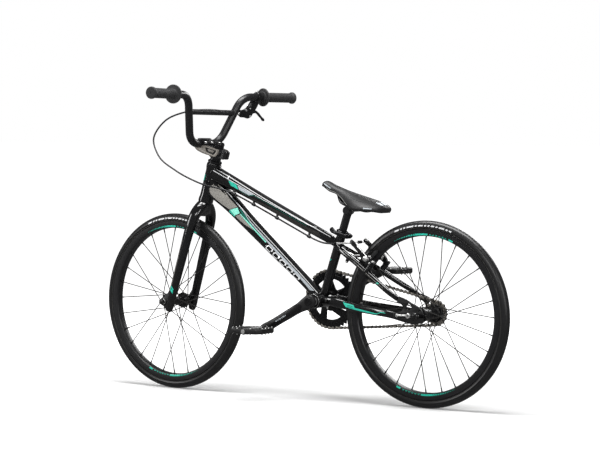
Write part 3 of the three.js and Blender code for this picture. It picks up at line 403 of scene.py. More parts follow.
def slab(outer, inner):
    """A thin closed sheet between two grids of points of one size."""
    rows, columns = len(outer), len(outer[0])
    points = [p for grid in (outer, inner) for row in grid for p in row]
    base = rows * columns
    faces = []
    for i in range(rows - 1):
        for j in range(columns - 1):
            quad = (i * columns + j, i * columns + j + 1, (i + 1) * columns + j + 1, (i + 1) * columns + j)
            faces += [quad, tuple(base + k for k in reversed(quad))]
    edge = [j for j in range(columns)]
    edge += [i * columns + columns - 1 for i in range(1, rows)]
    edge += [(rows - 1) * columns + j for j in range(columns - 2, -1, -1)]
    edge += [i * columns for i in range(rows - 2, 0, -1)]
    for a, b in zip(edge, edge[1:] + edge[:1]):
        faces.append((b, a, a + base, b + base))
    return points, faces


def decal(surface, low, high, across=5, step=8.0):
    """A thin film on surface(x, v, lift), between two lines of (x, v) points that pair up."""
    outer, inner = [], []
    for (a, b), (c, d) in zip(zip(low, low[1:]), zip(high, high[1:])):
        count = max(1, round(max(abs(a[0] - b[0]), abs(c[0] - d[0])) / step))
        last = b is low[-1]
        for k in range(count + last):
            t = k / count
            start = [a[n] + (b[n] - a[n]) * t for n in (0, 1)]
            stop = [c[n] + (d[n] - c[n]) * t for n in (0, 1)]
            spots = [[start[n] + (stop[n] - start[n]) * j / across for n in (0,
                                                                             1)] for j in range(across + 1)]
            outer.append([surface(x, v, 0.22) for x, v in spots])
            inner.append([surface(x, v, -0.3) for x, v in spots])
    return slab(outer, inner)


# ---------------------------------------------------------------- frame tubes
def bulge(v, power):
    """How far out an oval's skin is, as a share of its half-width, at a share v of its half-height."""
    return max(0.0, 1 - abs(v) ** power) ** (1 / power)


class FrameTube:
    """An oval tube in the bike's middle plane: rows of x, z, height and width, from front to back."""

    def __init__(self, rows, power):
        self.rows = spline(rows, 10)
        self.power = power

    def axis(self, i):
        before, after = self.rows[max(i - 1, 0)], self.rows[min(i + 1, len(self.rows) - 1)]
        along = Vector((after[0] - before[0], 0, after[1] - before[1])).normalized()
        return along, Vector((along.z, 0, -along.x))

    def skin(self, sides=56):
        sections = []
        for i, (x, z, height, width) in enumerate(self.rows):
            _, up = self.axis(i)
            sections.append(oval(Vector((x, 0, z)), up, LEFT, height / 2, width / 2, sides, self.power))
        return loft(sections)

    def spot(self, x, v, lift, side=1):
        """The point on one side of the tube at x, a share v of the half-height above its middle line."""
        i, t = locate(self.rows, x)
        _, z, height, width = self.rows[i].lerp(self.rows[i + 1], t)
        _, up = self.axis(i)
        across = bulge(v, self.power)
        rise = up * (copysign(abs(v) ** (self.power - 1), v) / (height / 2))
        out = (rise + LEFT * (across ** (self.power - 1) / (width / 2))).normalized()
        point = Vector((x, 0, z)) + up * (v * height / 2) + LEFT * (across * width / 2) + out * lift
        return Vector((point.x, point.y * side, point.z))

    def weld(self, end, centre, axis, radius, bead=1.7, sides=72):
        """The ring of weld where the tube's end runs into a cylinder."""
        i = 0 if end == "front" else len(self.rows) - 1
        x, z, height, width = self.rows[i]
        along, up = self.axis(i)
        along = -along if end == "front" else along
        path = []
        for p in oval(Vector((x, 0, z)), up, LEFT, height / 2, width / 2, sides, self.power):
            start = p - along * 60 - centre
            a, b = along - axis * along.dot(axis), start - axis * start.dot(axis)
            half, rest = a.dot(b) / a.dot(a), (b.dot(b) - radius**2) / a.dot(a)
            root = half * half - rest
            if root > 0:
                path.append(centre + start + along * (-half - root**0.5))
        ripple = [bead * (1 + 0.12 * (k % 2)) for k in range(len(path))]
        return tube(path, ripple, 8, closed=True)


TOP_TUBE = FrameTube(
    [(704, 624, 44, 36), (640, 597, 37, 36), (548, 556, 30, 38), (412, 494, 27, 36), (300, 443.5, 24, 28),
     (281, 435, 23, 24)], 2.8)
DOWN_TUBE = FrameTube(
    [(716, 588, 56, 38), (650, 543, 50, 40), (582, 486, 42, 42), (479, 401, 35, 42), (400, 337, 29, 44),
     (342, 288, 28, 50)], 2.7)


def marker(shape, surface):
    """A function that adds a decal to both sides, between two lines on surface(x, v, lift, side)."""
    def mark(slot, low, high, **options):
        for side in (1, -1):
            shape.add(decal(lambda x, v, lift: surface(x, v, lift, side), low, high, **options), slot)

    return mark


def build_top_tube():
    shape = Shape().add(TOP_TUBE.skin())
    shape.add(TOP_TUBE.weld("front", STEER_POINT, STEER_UP, HEAD_TUBE_R))
    shape.add(TOP_TUBE.weld("back", SEAT_FOOT, SEAT_UP, SEAT_TUBE_R, 1.4))
    slope = Vector((406, 0, 181)).normalized()
    for x, y, z in ((560, 14, 539), (480, 14, 503), (372, 14, 454)):
        at = Vector((x, y, z))
        shape.add(ring(2.7, 4.6, -5, 5, sides=24), 1, facing(at, slope))
        shape.add(tube([at + Vector((0, -1, 4)), Vector((x, 8, z + 18))], [3.2, 4.2], 12), 1)
    stop = Vector((626, 19, 569))
    shape.add(ring(2.6, 5.2, -7, 5, 0.8, 28), 1, facing(stop, slope))
    shape.add(tube([stop + Vector((0, -2, 3)), Vector((626, 9, 585))], [4, 6], 12), 1)
    piece("top_tube_skin", shape, [PAINT, SATIN], "frame", ["top_tube"])

    marks = Shape()
    mark = marker(marks, TOP_TUBE.spot)
    thin = 0.035
    line = [(703, 0.49), (653, 0.48), (647, 0.44), (609, 0.5), (536, 0.49), (461, 0.62), (378, 0.66),
            (366, 0.8), (356, 0.93)]
    mark(0, [(x, v - thin) for x, v in line], [(x, v + thin) for x, v in line], across=2)
    mark(0, [(653, 0.52), (649, 0.52)], [(653.5, 0.93), (651.5, 0.93)], step=3, across=3)
    mark(1, [(646, 0.3), (636, -0.19), (608, -0.19)], [(645, 0.34), (630, 0.36), (620, 0.36)])
    mark(2, [(606, -0.14), (572, -0.14), (560, 0.36)], [(616, 0.36), (580, 0.42), (562, 0.43)])
    mark(3, [(606, -0.24), (572, -0.26), (558, 0.24), (535, 0.31), (458, 0.28), (380, 0.32)],
         [(606, -0.18), (574, -0.18), (561, 0.31), (535, 0.37), (458, 0.34), (380, 0.38)])
    mark(4, [(600, -0.5), (552, -0.6), (458, -0.7), (372, -0.7), (330, -0.3)],
         [(590, -0.34), (556, -0.3), (458, 0.12), (372, 0.2), (340, 0.4)])
    for k in range(4):  # slanted dashes in the mint patch
        x = 636 - 5 * k
        mark(5, [(x, -0.06), (x - 2, -0.06)], [(x + 5, 0.2), (x + 3, 0.2)], step=3, across=2)
    piece("top_tube_marks", marks, [WHITE, MINT, SILVER_PRINT_AND_HIGHLIGHT, DEEP_MINT, GRAPHITE, PAINT], "frame")


def build_down_tube():
    shape = Shape().add(DOWN_TUBE.skin())
    shape.add(DOWN_TUBE.weld("front", STEER_POINT, STEER_UP, HEAD_TUBE_R))
    shape.add(DOWN_TUBE.weld("back", BB, LEFT, BB_SHELL_R, 1.6))
    piece("down_tube_skin", shape, [PAINT], "frame", ["down_tube"])

    marks = Shape()
    mark = marker(marks, DOWN_TUBE.spot)
    mark(0, [(709, -0.1), (706, -0.3), (698, -0.5), (677, -0.6), (654, -0.55), (634, -0.38)],
         [(709, 0.3), (706, 0.6), (696, 0.84), (672, 0.78), (648, 0.6), (622, 0.59)])
    mark(1, [(632.5, -0.38), (615, -0.46)], [(620.5, 0.57), (608, 0.3)])
    mark(2, [(633, -0.62), (614, -0.6)], [(632.5, -0.42), (615, -0.49)], across=2)
    mark(0, [(613, -0.42), (598, -0.39), (578, -0.22), (558, 0.1)],
         [(606, 0.22), (592, 0.2), (572, 0.18), (556, 0.17)])
    mark(1, [(606, 0.24), (574, 0.21), (515, 0.14)], [(606, 0.33), (572, 0.38), (515, 0.32)])
    mark(3, [(616, 0.62), (602, 0.4), (566, 0.42)], [(613, 0.72), (600, 0.66), (560, 0.5)])
    mark(4, [(652, 0.8), (631, 0.8), (602, 0.75), (577, 0.52), (506, 0.36), (433, 0.22), (362, 0.02)],
         [(652, 0.83), (631, 0.84), (602, 0.81), (580, 0.64), (507, 0.6), (429, 0.58), (354, 0.55)])
    # A row of open hexagons, five links long.
    for k in range(5):
        x, half, low, high = 500 - 23 * k, 10, -0.6 - 0.02 * k, 0.27 - 0.02 * k
        middle = (low + high) / 2
        corners = [(x + half, low), (x - half * 0.55, low), (x - half, middle), (x - half, high),
                   (x + half * 0.55, high), (x + half, middle)]
        for a, b in zip(corners, corners[1:] + corners[:1]):
            inside = [(p[0] * 0.66 + x * 0.34, p[1] * 0.66 + middle * 0.34) for p in (a, b)]
            mark(5, [a, b], inside, across=2, step=4)
    piece("down_tube_marks", marks, [TAUPE, PALE_MINT, MINT, DEEP_MINT, SILVER_PRINT_AND_HIGHLIGHT, WHITE], "frame")


def round_surface(foot, up, forward, radius):
    """A surface for decals on a round tube: x is a distance from its foot, v an angle from its front."""
    def surface(x, v, lift, side=1):
        r = radius + lift
        return foot + up * x + forward * (r * cos(v)) + LEFT * (side * r * sin(v))

    return surface


def build_head_tube():
    shape = Shape()
    half = (HEAD_TOP - HEAD_BOTTOM) / 2
    outer = [(21.5, -half + 0.8), (21.5, -half + 9), (20.4, -half + 14), (HEAD_TUBE_R, -half + 20),
             (HEAD_TUBE_R, half - 20), (20.4, half - 14), (21.5, half - 9), (21.5, half - 0.8), (20.9, half)]
    profile = [(16.6, -half), (20.9, -half), *outer, (16.6, half), (16.6, -half)]
    middle = STEER_POINT + STEER_UP * (HEAD_TOP + HEAD_BOTTOM) / 2
    shape.add(lathe(profile, 64), 0, facing(middle, STEER_UP))
    piece("head_tube_skin", shape, [PAINT], "frame", ["head_tube"])
    marks = Shape()
    surface = round_surface(STEER_POINT, STEER_UP, STEER_FORWARD, HEAD_TUBE_R)
    for side in (1, -1):
        near, far = sorted((side * radians(12), side * radians(62)))
        marks.add(decal(surface, [(-60, near), (-33, near)], [(-55, far), (-39, far)], step=6, across=8), 0)
    piece("head_tube_marks", marks, [MINT], "frame")
    cups = Shape()
    for y0, y1 in ((HEAD_TOP + 0.3, HEAD_TOP + 3), (HEAD_BOTTOM - 3, HEAD_BOTTOM - 0.3)):
        cups.add(ring(15.3, 20.5, y0, y1, 0.5, 56), 0, STEER_AXIS)
    piece("headset_cups", cups, [ANODISED], "frame", ["headset_upper_cup", "headset_lower_cup"])


def build_seat_tube():
    shape = Shape()
    shape.add(ring(11.4, SEAT_TUBE_R, 4, COLLAR_S + 7, 0.4, 56), 0, SEAT_AXIS)
    piece("seat_tube_skin", shape, [PAINT], "frame", ["seat_tube"])
    marks = Shape()
    surface = round_surface(SEAT_FOOT, SEAT_UP, SEAT_FORWARD, SEAT_TUBE_R)
    for side in (1, -1):
        near, far = sorted((side * radians(56), side * radians(74)))
        marks.add(decal(surface, [(116, near), (122, near)], [(117, far), (122, far)], step=6), 0)
    piece("seat_tube_marks", marks, [MINT], "frame")

    collar = Shape()
    collar.add(ring(13.1, 16.3, COLLAR_S - 7, COLLAR_S + 7, 0.8, 56), 0, SEAT_AXIS)
    for y in (3.6, -3.6):
        outline = arc(-24, COLLAR_S, 7.2, pi / 2, 3 * pi / 2, 12) + [(-13, COLLAR_S - 7), (-13, COLLAR_S + 7)]
        collar.add(plate([outline], y - 2.3, y + 2.3, 0.7), 0, SEAT)
    for k in (-4, 0, 4):
        collar.add(ring(16.0, 17.2, COLLAR_S + k - 0.8, COLLAR_S + k + 0.8, 0.3, 56), 0, SEAT_AXIS)
    piece("seat_collar_band", collar, [ANODISED], "frame", ["seat_collar"])
    pin = Shape().add(tube([Vector((-24, -11, COLLAR_S)), Vector((-24, 8, COLLAR_S))], 2.8, 16))
    pin.add(hex_nut(5.5, 4), 0, facing((-24, -8, COLLAR_S), (0, -1, 0)))
    piece("seat_clamp_pin", pin, [STEEL], "frame", matrix=SEAT)

    lever = Shape()
    lever.add(disc(7, -5.5, 5.5, 1), 0, facing((-24, 15.5, COLLAR_S), UP))
    path = spline([(-24, 17, COLLAR_S), (-14, 22, COLLAR_S), (0, 24.5, COLLAR_S), (12, 22.5, COLLAR_S),
                   (22, 16, COLLAR_S), (29, 9.5, COLLAR_S)], 6)
    widths = [5.6 - 1.2 * sin(pi * min(1, i / (len(path) - 4))) + (1.2 if i > len(path) - 9 else 0)
              for i in range(len(path))]
    sections = [oval(centre, UP, along.cross(UP), width + 1, 4.4, 20, 2.3)
                for centre, width, along in zip(path, widths, directions(path))]
    lever.add(loft(sections))
    lever.add(disc(6.8, -5, 5, 1.6), 0, facing((27, 11, COLLAR_S), (0.7, -0.7, 0)))
    piece("seat_clamp_lever", lever, [ANODISED, STEEL], "seat_qr_lever", ["seat_qr_lever"], matrix=SEAT)


def build_bottom_bracket():
    shape = Shape().add(ring(17.5, BB_SHELL_R, -36.5, 36.5, 0.5, 64), 0, facing(BB, LEFT))
    piece("bb_shell_skin", shape, [PAINT], "frame", ["bb_shell"])
    cups = Shape()
    for side in (1, -1):
        turn = facing(BB, (0, side, 0))
        cups.add(ring(13, 21.6, 36.8, 41, 0.6, 64), 0, turn)
        cups.add(ring(13, 20.4, 41, 43.4, 0.6, 64), 0, turn)
        cups.add(ring(18.4, 19.1, 43.2, 43.7, 0.15, 64), 1, turn)
        for k in range(16):
            a = 2 * pi * k / 16
            ends = [(21.2 * sin(a), y, 21.2 * cos(a)) for y in (37.2, 40.6)]
            cups.add(tube(ends, 0.9, 8), 0, turn)
    piece("bb_cups", cups, [ANODISED, STEEL], "frame", ["bb_cup_left", "bb_cup_right"])


# ---------------------------------------------------------------- stays and rear ends
STAY_POWER = 2.3  # how square the sections of stays and fork blades are

# Rows from the front to the back: x, y, z, height and width.
CHAINSTAY = [(324, 24, 279, 21, 13), (291, 30.5, 278, 24, 13), (236, 35, 270, 24, 14), (133, 47, 259, 22, 15),
             (90, 55, 255, 20.5, 14), (66, 58.5, 251.5, 19.5, 9)]
SEATSTAY = [(284, 8, 430, 17, 14), (262, 16, 418, 16, 16), (206, 29, 387, 16, 16), (150, 42, 353, 16, 16),
            (112, 51, 330, 15.5, 15), (85, 58, 314, 15, 12), (56, 59.5, 297, 14, 7)]


def stay_sections(rows, sides=36):
    """Upright oval sections along rows of x, y, z, height and width."""
    centres = spline([row[:3] for row in rows], 8)
    sizes = spline([row[3:] for row in rows], 8)
    sections = []
    for centre, size, along in zip(centres, sizes, directions(centres)):
        across = (LEFT - along * along.y).normalized()
        up = across.cross(along)
        sections.append(oval(centre, up, across, size[0] / 2, size[1] / 2, sides, STAY_POWER))
    return sections


def stay_surface(rows):
    """A surface for decals on a stay: x is forward, v a share of the half-height above the middle."""
    centres = spline([row[:3] for row in rows], 8)
    sizes = spline([row[3:] for row in rows], 8)

    def surface(x, v, lift, side=1):
        i, t = locate(centres, x)
        centre, size = centres[i].lerp(centres[i + 1], t), sizes[i].lerp(sizes[i + 1], t)
        along = (centres[i + 1] - centres[i]).normalized()
        across = (LEFT - along * along.y).normalized()
        up = across.cross(along)
        up = up if up.z > 0 else -up
        point = centre + up * (v * size[0] / 2) + across * (bulge(v, STAY_POWER) * size[1] / 2 + lift)
        return Vector((point.x, point.y * side, point.z))

    return surface


def flat_plate(outline, z0, z1, bevel):
    """An outline of (x, y) points as a level plate from z0 to z1."""
    points, faces = plate([outline], z0, z1, bevel)
    return [Vector((p.x, p.z, p.y)) for p in points], faces


def build_stays():
    stay = loft(stay_sections(CHAINSTAY))
    for side, name in SIDES:
        shape = Shape().add(stay, 0, flip(side))
        half = [(318, 0), (318, 24), (296, 30), (276, 26), (270, 12), (272, 0)]
        yoke = spline([(x, y * 0.98) for x, y in half], 4)
        shape.add(flat_plate(yoke, 270, 284, 2), 0, flip(side))
        piece("chainstay_skin_" + name, shape, [PAINT], "frame", ["chainstay_" + name])

    shape = Shape()
    stay = loft(stay_sections(SEATSTAY))
    for side in (1, -1):
        shape.add(stay, 0, flip(side))
        boss = BRAKE @ facing((BRAKE_PIVOT_R, side * BRAKE_PIVOT_Y, 0), UP)
        shape.add(lathe([(0, -30), (7.5, -30), (8.2, -22), (7.6, -8.4), (0, -8.4)], 36), 0, boss)
        shape.add(disc(3.6, -9, 9, 0.4, 24), 1, boss)
        eyelet = facing((239, side * 24, 393), (0, side * 0.5, -0.86))
        shape.add(disc(4.5, -4, 5, 0.8, 24), 0, eyelet)
        shape.socket_bolt(3.4, 2.4, 1, eyelet @ Matrix.Translation((0, 5, 0)))
    bridge = [(226, -30, 398), (228, -12, 400), (228, 12, 400), (226, 30, 398)]
    shape.add(tube(spline(bridge, 6), 7.4, 24))
    gusset = [(236, -24), (262, -14), (262, 14), (236, 24), (214, 27), (206, 10), (206, -10), (214, -27)]
    lean = atan2(31, 56)
    tilt = Matrix.Translation((234, 0, 403)) @ Matrix.Rotation(-lean, 4, "Y")
    tilt = tilt @ Matrix.Translation((-234, 0, 0))
    shape.add(flat_plate(gusset, -3.5, 3.5, 1.2), 0, tilt)
    piece("seatstay_skin", shape, [PAINT, STEEL], "frame", ["seatstays"])

    marks = Shape()
    on_chainstay, on_seatstay = marker(marks, stay_surface(CHAINSTAY)), marker(marks, stay_surface(SEATSTAY))
    on_chainstay(0, [(240, 0.36), (231, -0.3), (197, -0.5)], [(237, 0.62), (231, 0.6), (205, 0.52)])
    on_chainstay(0, [(242.5, 0.62), (240, 0.4)], [(240.5, 0.98), (238.4, 0.6)], across=2)
    on_chainstay(0, [(197, -0.5), (150, -0.62), (124, -0.66), (108, 0.0), (92, 0.1)],
                 [(200, -0.06), (150, -0.26), (123, -0.4), (107, 0.22), (92, 0.22)])
    on_chainstay(1, [(226, 0.12), (207, 0.06)], [(227, 0.24), (208, 0.18)], across=2)
    on_chainstay(1, [(226, -0.2), (205, -0.28)], [(226, -0.1), (206, -0.18)], across=2)
    on_seatstay(2, [(196, -0.1), (150, -0.1), (100, 0.0)], [(196, 0.0), (150, 0.02), (100, 0.08)])
    on_seatstay(0, [(125, -0.3), (119, -0.3)], [(122, 0.3), (116, 0.3)], across=3)
    piece("stay_marks", marks, [MINT, GRAPHITE, TAUPE], "frame")


def build_rear_ends():
    slot = arc(0, AXLE_HEIGHT, 5.1, pi / 2, -pi / 2, 12)
    outline = [(-25, AXLE_HEIGHT + 5.1), *slot, (-25, AXLE_HEIGHT - 5.1)]
    lower = spline([(-25, 248.4), (-20, 238), (-4, 231), (30, 234), (67, 242)], 5)
    upper = spline([(67, 260), (46, 263), (36, 272), (46, 284), (58, 289)], 5)
    back = spline([(52, 304), (30, 297), (8, 286), (-14, 275), (-25, 258.6)], 5)
    outline += lower[1:] + upper + back[:-1]
    window = spline([(10, 274), (26, 268), (28, 280), (22, 286)], 4, closed=True)
    small = arc(-13, 267, 3, 0, 2 * pi * 11 / 12, 11)
    for side, name in SIDES:
        shape = Shape().add(plate([outline, window, small], DROPOUT_Y, DROPOUT_Y + 6, 0.8), 0, flip(side))
        piece("dropout_plate_" + name, shape, [FORGED], "frame", ["dropout_" + name])
        y = DROPOUT_Y + 6
        metal = Shape()
        shoe = arc(0, AXLE_HEIGHT, 10.5, pi / 3, 2 * pi - pi / 3, 20)
        shoe += [(20, AXLE_HEIGHT - 5), *arc(18, AXLE_HEIGHT, 5, -pi / 2, pi / 2, 8), (20, AXLE_HEIGHT + 5)]
        metal.add(plate([shoe, arc(0, AXLE_HEIGHT, 5.4, 0, 2 * pi * 15 / 16, 15)], y + 0.3, y + 3, 0.4), 1,
                  flip(side))
        eye = facing((18, side * (y + 5.8), AXLE_HEIGHT), LEFT)
        metal.add(ring(2.6, 6.8, -3.6, 3.6, 0.8, 32), 0, eye)
        thread = [Vector((24 + k * 0.6, side * (y + 5.8), AXLE_HEIGHT)) for k in range(56)]
        metal.add(tube(thread, [2.5 + 0.22 * (k % 2) for k in range(56)], 16), 0)
        metal.add(hex_nut(5.4, 5), 0, facing((51, side * (y + 5.8), AXLE_HEIGHT), FORWARD))
        metal.add(plate([[(55.5, 247), (62, 247), (62, 260), (55.5, 260)]], y + 0.2, y + 10.6, 0.8), 1,
                  flip(side))
        piece("tensioner_metal_" + name, metal, [STEEL, FORGED], "frame", ["tensioner_" + name])
    shape = Shape()
    build_axle(shape, 78, DROPOUT_Y + 9.3, DROPOUT_Y + 18)
    piece("rear_axle_metal", shape, [FORGED, STEEL], "frame", ["rear_axle"],
          matrix=Matrix.Translation(REAR_AXLE))


def build_axle(shape, reach, nut_start, nut_end):
    """A threaded axle about Y through the origin, with a washer and a nut at each end."""
    turns = int((reach - nut_start + 13) / 0.55)
    for side in (1, -1):
        turn = outward(side)
        profile = [(0, 0)] + [(4.8 - 0.28 * (k % 2), nut_start - 14 + 0.55 * k) for k in range(turns)]
        profile += [(3.9, reach - 0.4), (3.6, reach), (0, reach)]
        shape.add(lathe([(0, 0), (4.6, 0), *profile[1:]], 24), 0, turn)
        shape.add(disc(8.4, nut_start - 2.6, nut_start - 0.2, 0.4, 36), 1, turn)
        shape.add(hex_nut(8.6, nut_end - nut_start), 0, turn @ Matrix.Translation((0, nut_start, 0)))


# ---------------------------------------------------------------- wheels
RIM_INNER_R = 211.5
TREAD_BLOCKS = 150  # in each of four rows
SPOKES_PER_SIDE = 14
FLANGE_R, HUB_BORE, SPOKE_HOLES_R = 22.5, 5.2, 19.6


def tyre_shape():
    half = [(253.5, 0), (253.3, 2.6), (252.2, 6), (250, 9.2), (246.8, 12), (242.8, 14), (238.8, 14.8),
            (235, 13.6), (232.6, 11.4), (231.9, 10.1)]
    profile = [*half, (226, 9.6), (226, -9.6), *[(r, -y) for r, y in reversed(half[1:])], half[0]]
    shape = Shape().add(lathe(profile, 180))
    # A thin rib round each sidewall, and a ring near the rim whose lighter colour is a painted highlight.
    for side in (1, -1):
        shape.add(ring(247.2, 248.4, 11.1, 11.9, 0.3, 180), 0, outward(side))
        shape.add(ring(233.4, 234.3, 12.6, 13.4, 0.3, 180), 1, outward(side))
    # Small slanted blocks in four rows make the tread.
    for row, (middle, lean) in enumerate(((2.2, 1), (-2.2, -1), (6.6, -1), (-6.6, 1))):
        for k in range(TREAD_BLOCKS):
            a = 2 * pi * (k + 0.5 * (row % 2)) / TREAD_BLOCKS
            block_at(shape, a, middle, lean)
    return shape


def block_at(shape, angle, middle, lean):
    """One low tread block, sunk into the crown of the tyre."""
    top, bottom = [], []
    for da, y in ((-0.011, middle - 1.6), (0.011, middle - 1.6), (0.011, middle + 1.6),
                  (-0.011, middle + 1.6)):
        a = angle + da + lean * 0.004 * (y - middle)
        crown = TYRE_R - 0.02 * y * y - 0.0004 * y**4
        for r, points in ((crown, top), (crown - 1.2, bottom)):
            points.append(Vector((r * sin(a), y, r * cos(a))))
    shape.add((top + bottom, [(0, 1, 2, 3), (7, 6, 5, 4), (0, 4, 5, 1), (1, 5, 6, 2), (2, 6, 7, 3),
                              (3, 7, 4, 0)]))


def wheel_film(r_of, y_of):
    """A surface for decals on the wheel's side: x is in degrees from the top, v a share of the band."""
    def surface(x, v, lift):
        r, y = r_of(v), y_of(v) + lift
        return Vector((-r * sin(radians(x)), y, r * cos(radians(x))))

    return surface


def wheel_marks():
    """Bars and dashes on the rim, at the top and the bottom, and on the tyre at the top, on both sides."""
    shape = Shape()
    on_rim = wheel_film(lambda v: 214.2 + 4.8 * v, lambda v: 12.4 + 0.6 * min(1, v * 1.8))
    on_tyre = wheel_film(lambda v: 237.5 + 5 * v, lambda v: 14.25 + 0.5 * sin(pi * v))
    for side in (1, -1):
        for half_turn in (0, 180):
            turn = Matrix.Rotation(radians(half_turn), 4, "Y") @ Matrix.Diagonal((side, side, 1, 1))

            def bar(surface, start, end, slot, low=0.0, high=1.0, slant=0.0):
                lines = [(start, low), (end, low)], [(start + slant, high), (end + slant, high)]
                shape.add(decal(surface, *lines, across=3, step=1.2), slot, turn)

            bar(on_rim, -7, 2.5, 0)
            for k in range(13):  # dashes that fade out
                start, width = -8.4 - 1.45 * k, 0.95 - 0.055 * k
                bar(on_rim, start, start + width, 0, 0.04 * k, 1 - 0.02 * k, 0.5)
            for k in range(6):
                bar(on_rim, 3.7 + 2.6 * k, 4.2 + 2.6 * k, 0, 0.1, 0.9, 0.8)
                bar(on_rim, 5.0 + 2.6 * k, 5.5 + 2.6 * k, 0, 0.1, 0.9, -0.8)
            bar(on_rim, 20.2, 23.6, 0)
            widths = (3.4, 1.4, 1.4, 5.2, 1.4, 3.4, 1.4, 1.4, 2.4, 1.4, 4, 1.4, 1.8) if half_turn == 0 else ()
            for k, width in enumerate(widths):
                start = -23 + sum(widths[:k]) + 1.1 * k
                bar(on_tyre, start, start + width, 1, 0.1, 0.85, 0.5)
    return shape


VALVE_ANGLES = {"front": 12, "rear": -84}


def rim_shape(valve_angle):
    """The rim, with its valve at an angle in degrees behind the top."""
    shape = Shape()
    half = [(225.8, 9.9), (230.6, 9.9), (231.5, 10.6), (231.5, 12.4), (231, 13), (217, 13), (214.5, 12.4),
            (212.3, 10), (211.5, 6.5)]
    profile = [*half, *[(r, -y) for r, y in reversed(half)], half[0]]
    shape.add(lathe(profile, 180))
    # Fine rings where the brake pads run.
    for side in (1, -1):
        for r in (223.5, 229.6):
            shape.add(ring(r - 0.25, r + 0.25, 12.9, 13.12, 0.05, 120), 0, outward(side))
    away = Vector((-sin(radians(valve_angle)), 0, cos(radians(valve_angle))))
    valve = facing(away * RIM_INNER_R, -away)
    shape.add(disc(3, -6, 22, 0.5, 20), 1, valve)
    shape.add(disc(4, 8, 24, 1, 20), 0, valve)
    return shape


def hub_shape(left, right, half, shell, left_end, right_end):
    """A hub with its flanges at left and right and its ends at half and -half."""
    def end_rows(end, place):
        """One end of the hub, as if it were the left one: from its face over its flange to the shell."""
        return [(HUB_BORE, half), (end - 0.6, half), (end, half - 0.6), (end, place + 4),
                (FLANGE_R - 3, place + 2.4), (FLANGE_R - 0.5, place + 1.6), (FLANGE_R, place + 1),
                (FLANGE_R, place - 1), (FLANGE_R - 0.5, place - 1.6), (FLANGE_R - 4, place - 3),
                (shell + 0.6, place - 8), (shell, place - 14)]

    profile = [(r, -y) for r, y in end_rows(right_end, -right)] + end_rows(left_end, left)[::-1]
    profile.append(profile[0])
    shape = Shape().add(lathe(profile, 56))
    for y, side in ((half, 1), (-half, -1)):
        shape.add(ring(5.1, 7.6, -0.6, 0.8, 0.3, 36), 1, facing((0, y, 0), (0, side, 0)))
    return shape


def spoke_shape(flange_y, side):
    """The spokes of one flange, crossed in pairs, with their heads and nipples."""
    shape = Shape()
    for i in range(SPOKES_PER_SIDE):
        lean = 1 if i % 2 == 0 else -1
        rim_angle = (i + (0 if side > 0 else 0.5)) * 2 * pi / SPOKES_PER_SIDE
        hub_angle = rim_angle + lean * radians(64)

        def spot(r, angle, y):
            return Vector((r * sin(angle), y, r * cos(angle)))

        face = flange_y + side * (2.6 if lean > 0 else -2.4)
        inner = spot(SPOKE_HOLES_R, hub_angle, face)
        outer = spot(RIM_INNER_R + 1, rim_angle, 2 * side + 0.4 * lean)
        reach = (outer - inner).normalized()
        shape.add(tube([inner, outer], 1.25, 8), 0)
        through = spot(SPOKE_HOLES_R, hub_angle, flange_y - side * (3.4 if lean > 0 else -3.4))
        shape.add(tube([inner, through], 1.1, 8), 0)
        shape.add(disc(2, 0, 1.2, 0.5, 12), 0, facing(through, (0, side * (-1 if lean > 0 else 1), 0)))
        nipple = lathe([(0, -3), (2.5, -3), (2.5, 0), (2, 2), (1.75, 11), (1.4, 12.4), (0, 12.4)], 12)
        shape.add(nipple, 1, facing(outer, -reach))
    return shape


def build_wheel(name, place, hub):
    body = name + "_wheel"
    piece(name + "_tyre_casing", tyre_shape(), [TYRE, TYRE_HIGHLIGHT_RING], body, [name + "_tyre"], crease=28, matrix=place)
    piece(name + "_rim_hoop", rim_shape(VALVE_ANGLES[name]), [SATIN, STEEL], body, [name + "_rim"], crease=28,
          matrix=place)
    piece(name + "_wheel_marks", wheel_marks(), [MINT, WHITE], body, matrix=place)
    piece(name + "_hub_shell", hub_shape(**hub), [ANODISED, STEEL], body, [name + "_hub"], matrix=place)
    for side, word in SIDES:
        spokes = spoke_shape(hub[word], side)
        piece(name + "_spokes_and_nipples_" + word, spokes, [SPOKE, SATIN], body, [name + "_spokes_" + word],
              matrix=place)


# ---------------------------------------------------------------- drive
def pitch_radius(teeth):
    return PITCH / (2 * sin(pi / teeth))


def toothed(teeth, y0, y1, holes):
    """A sprocket from y0 to y1, with outlines of holes in it."""
    outline = []
    for k in range(teeth * 8):
        a = 2 * pi * k / (teeth * 8)
        r = pitch_radius(teeth) - 3.3 + 6.2 * (0.5 + 0.5 * cos(teeth * a)) ** 0.85
        outline.append((r * cos(a), r * sin(a)))
    return plate([outline, *holes], y0, y1, 0.35)


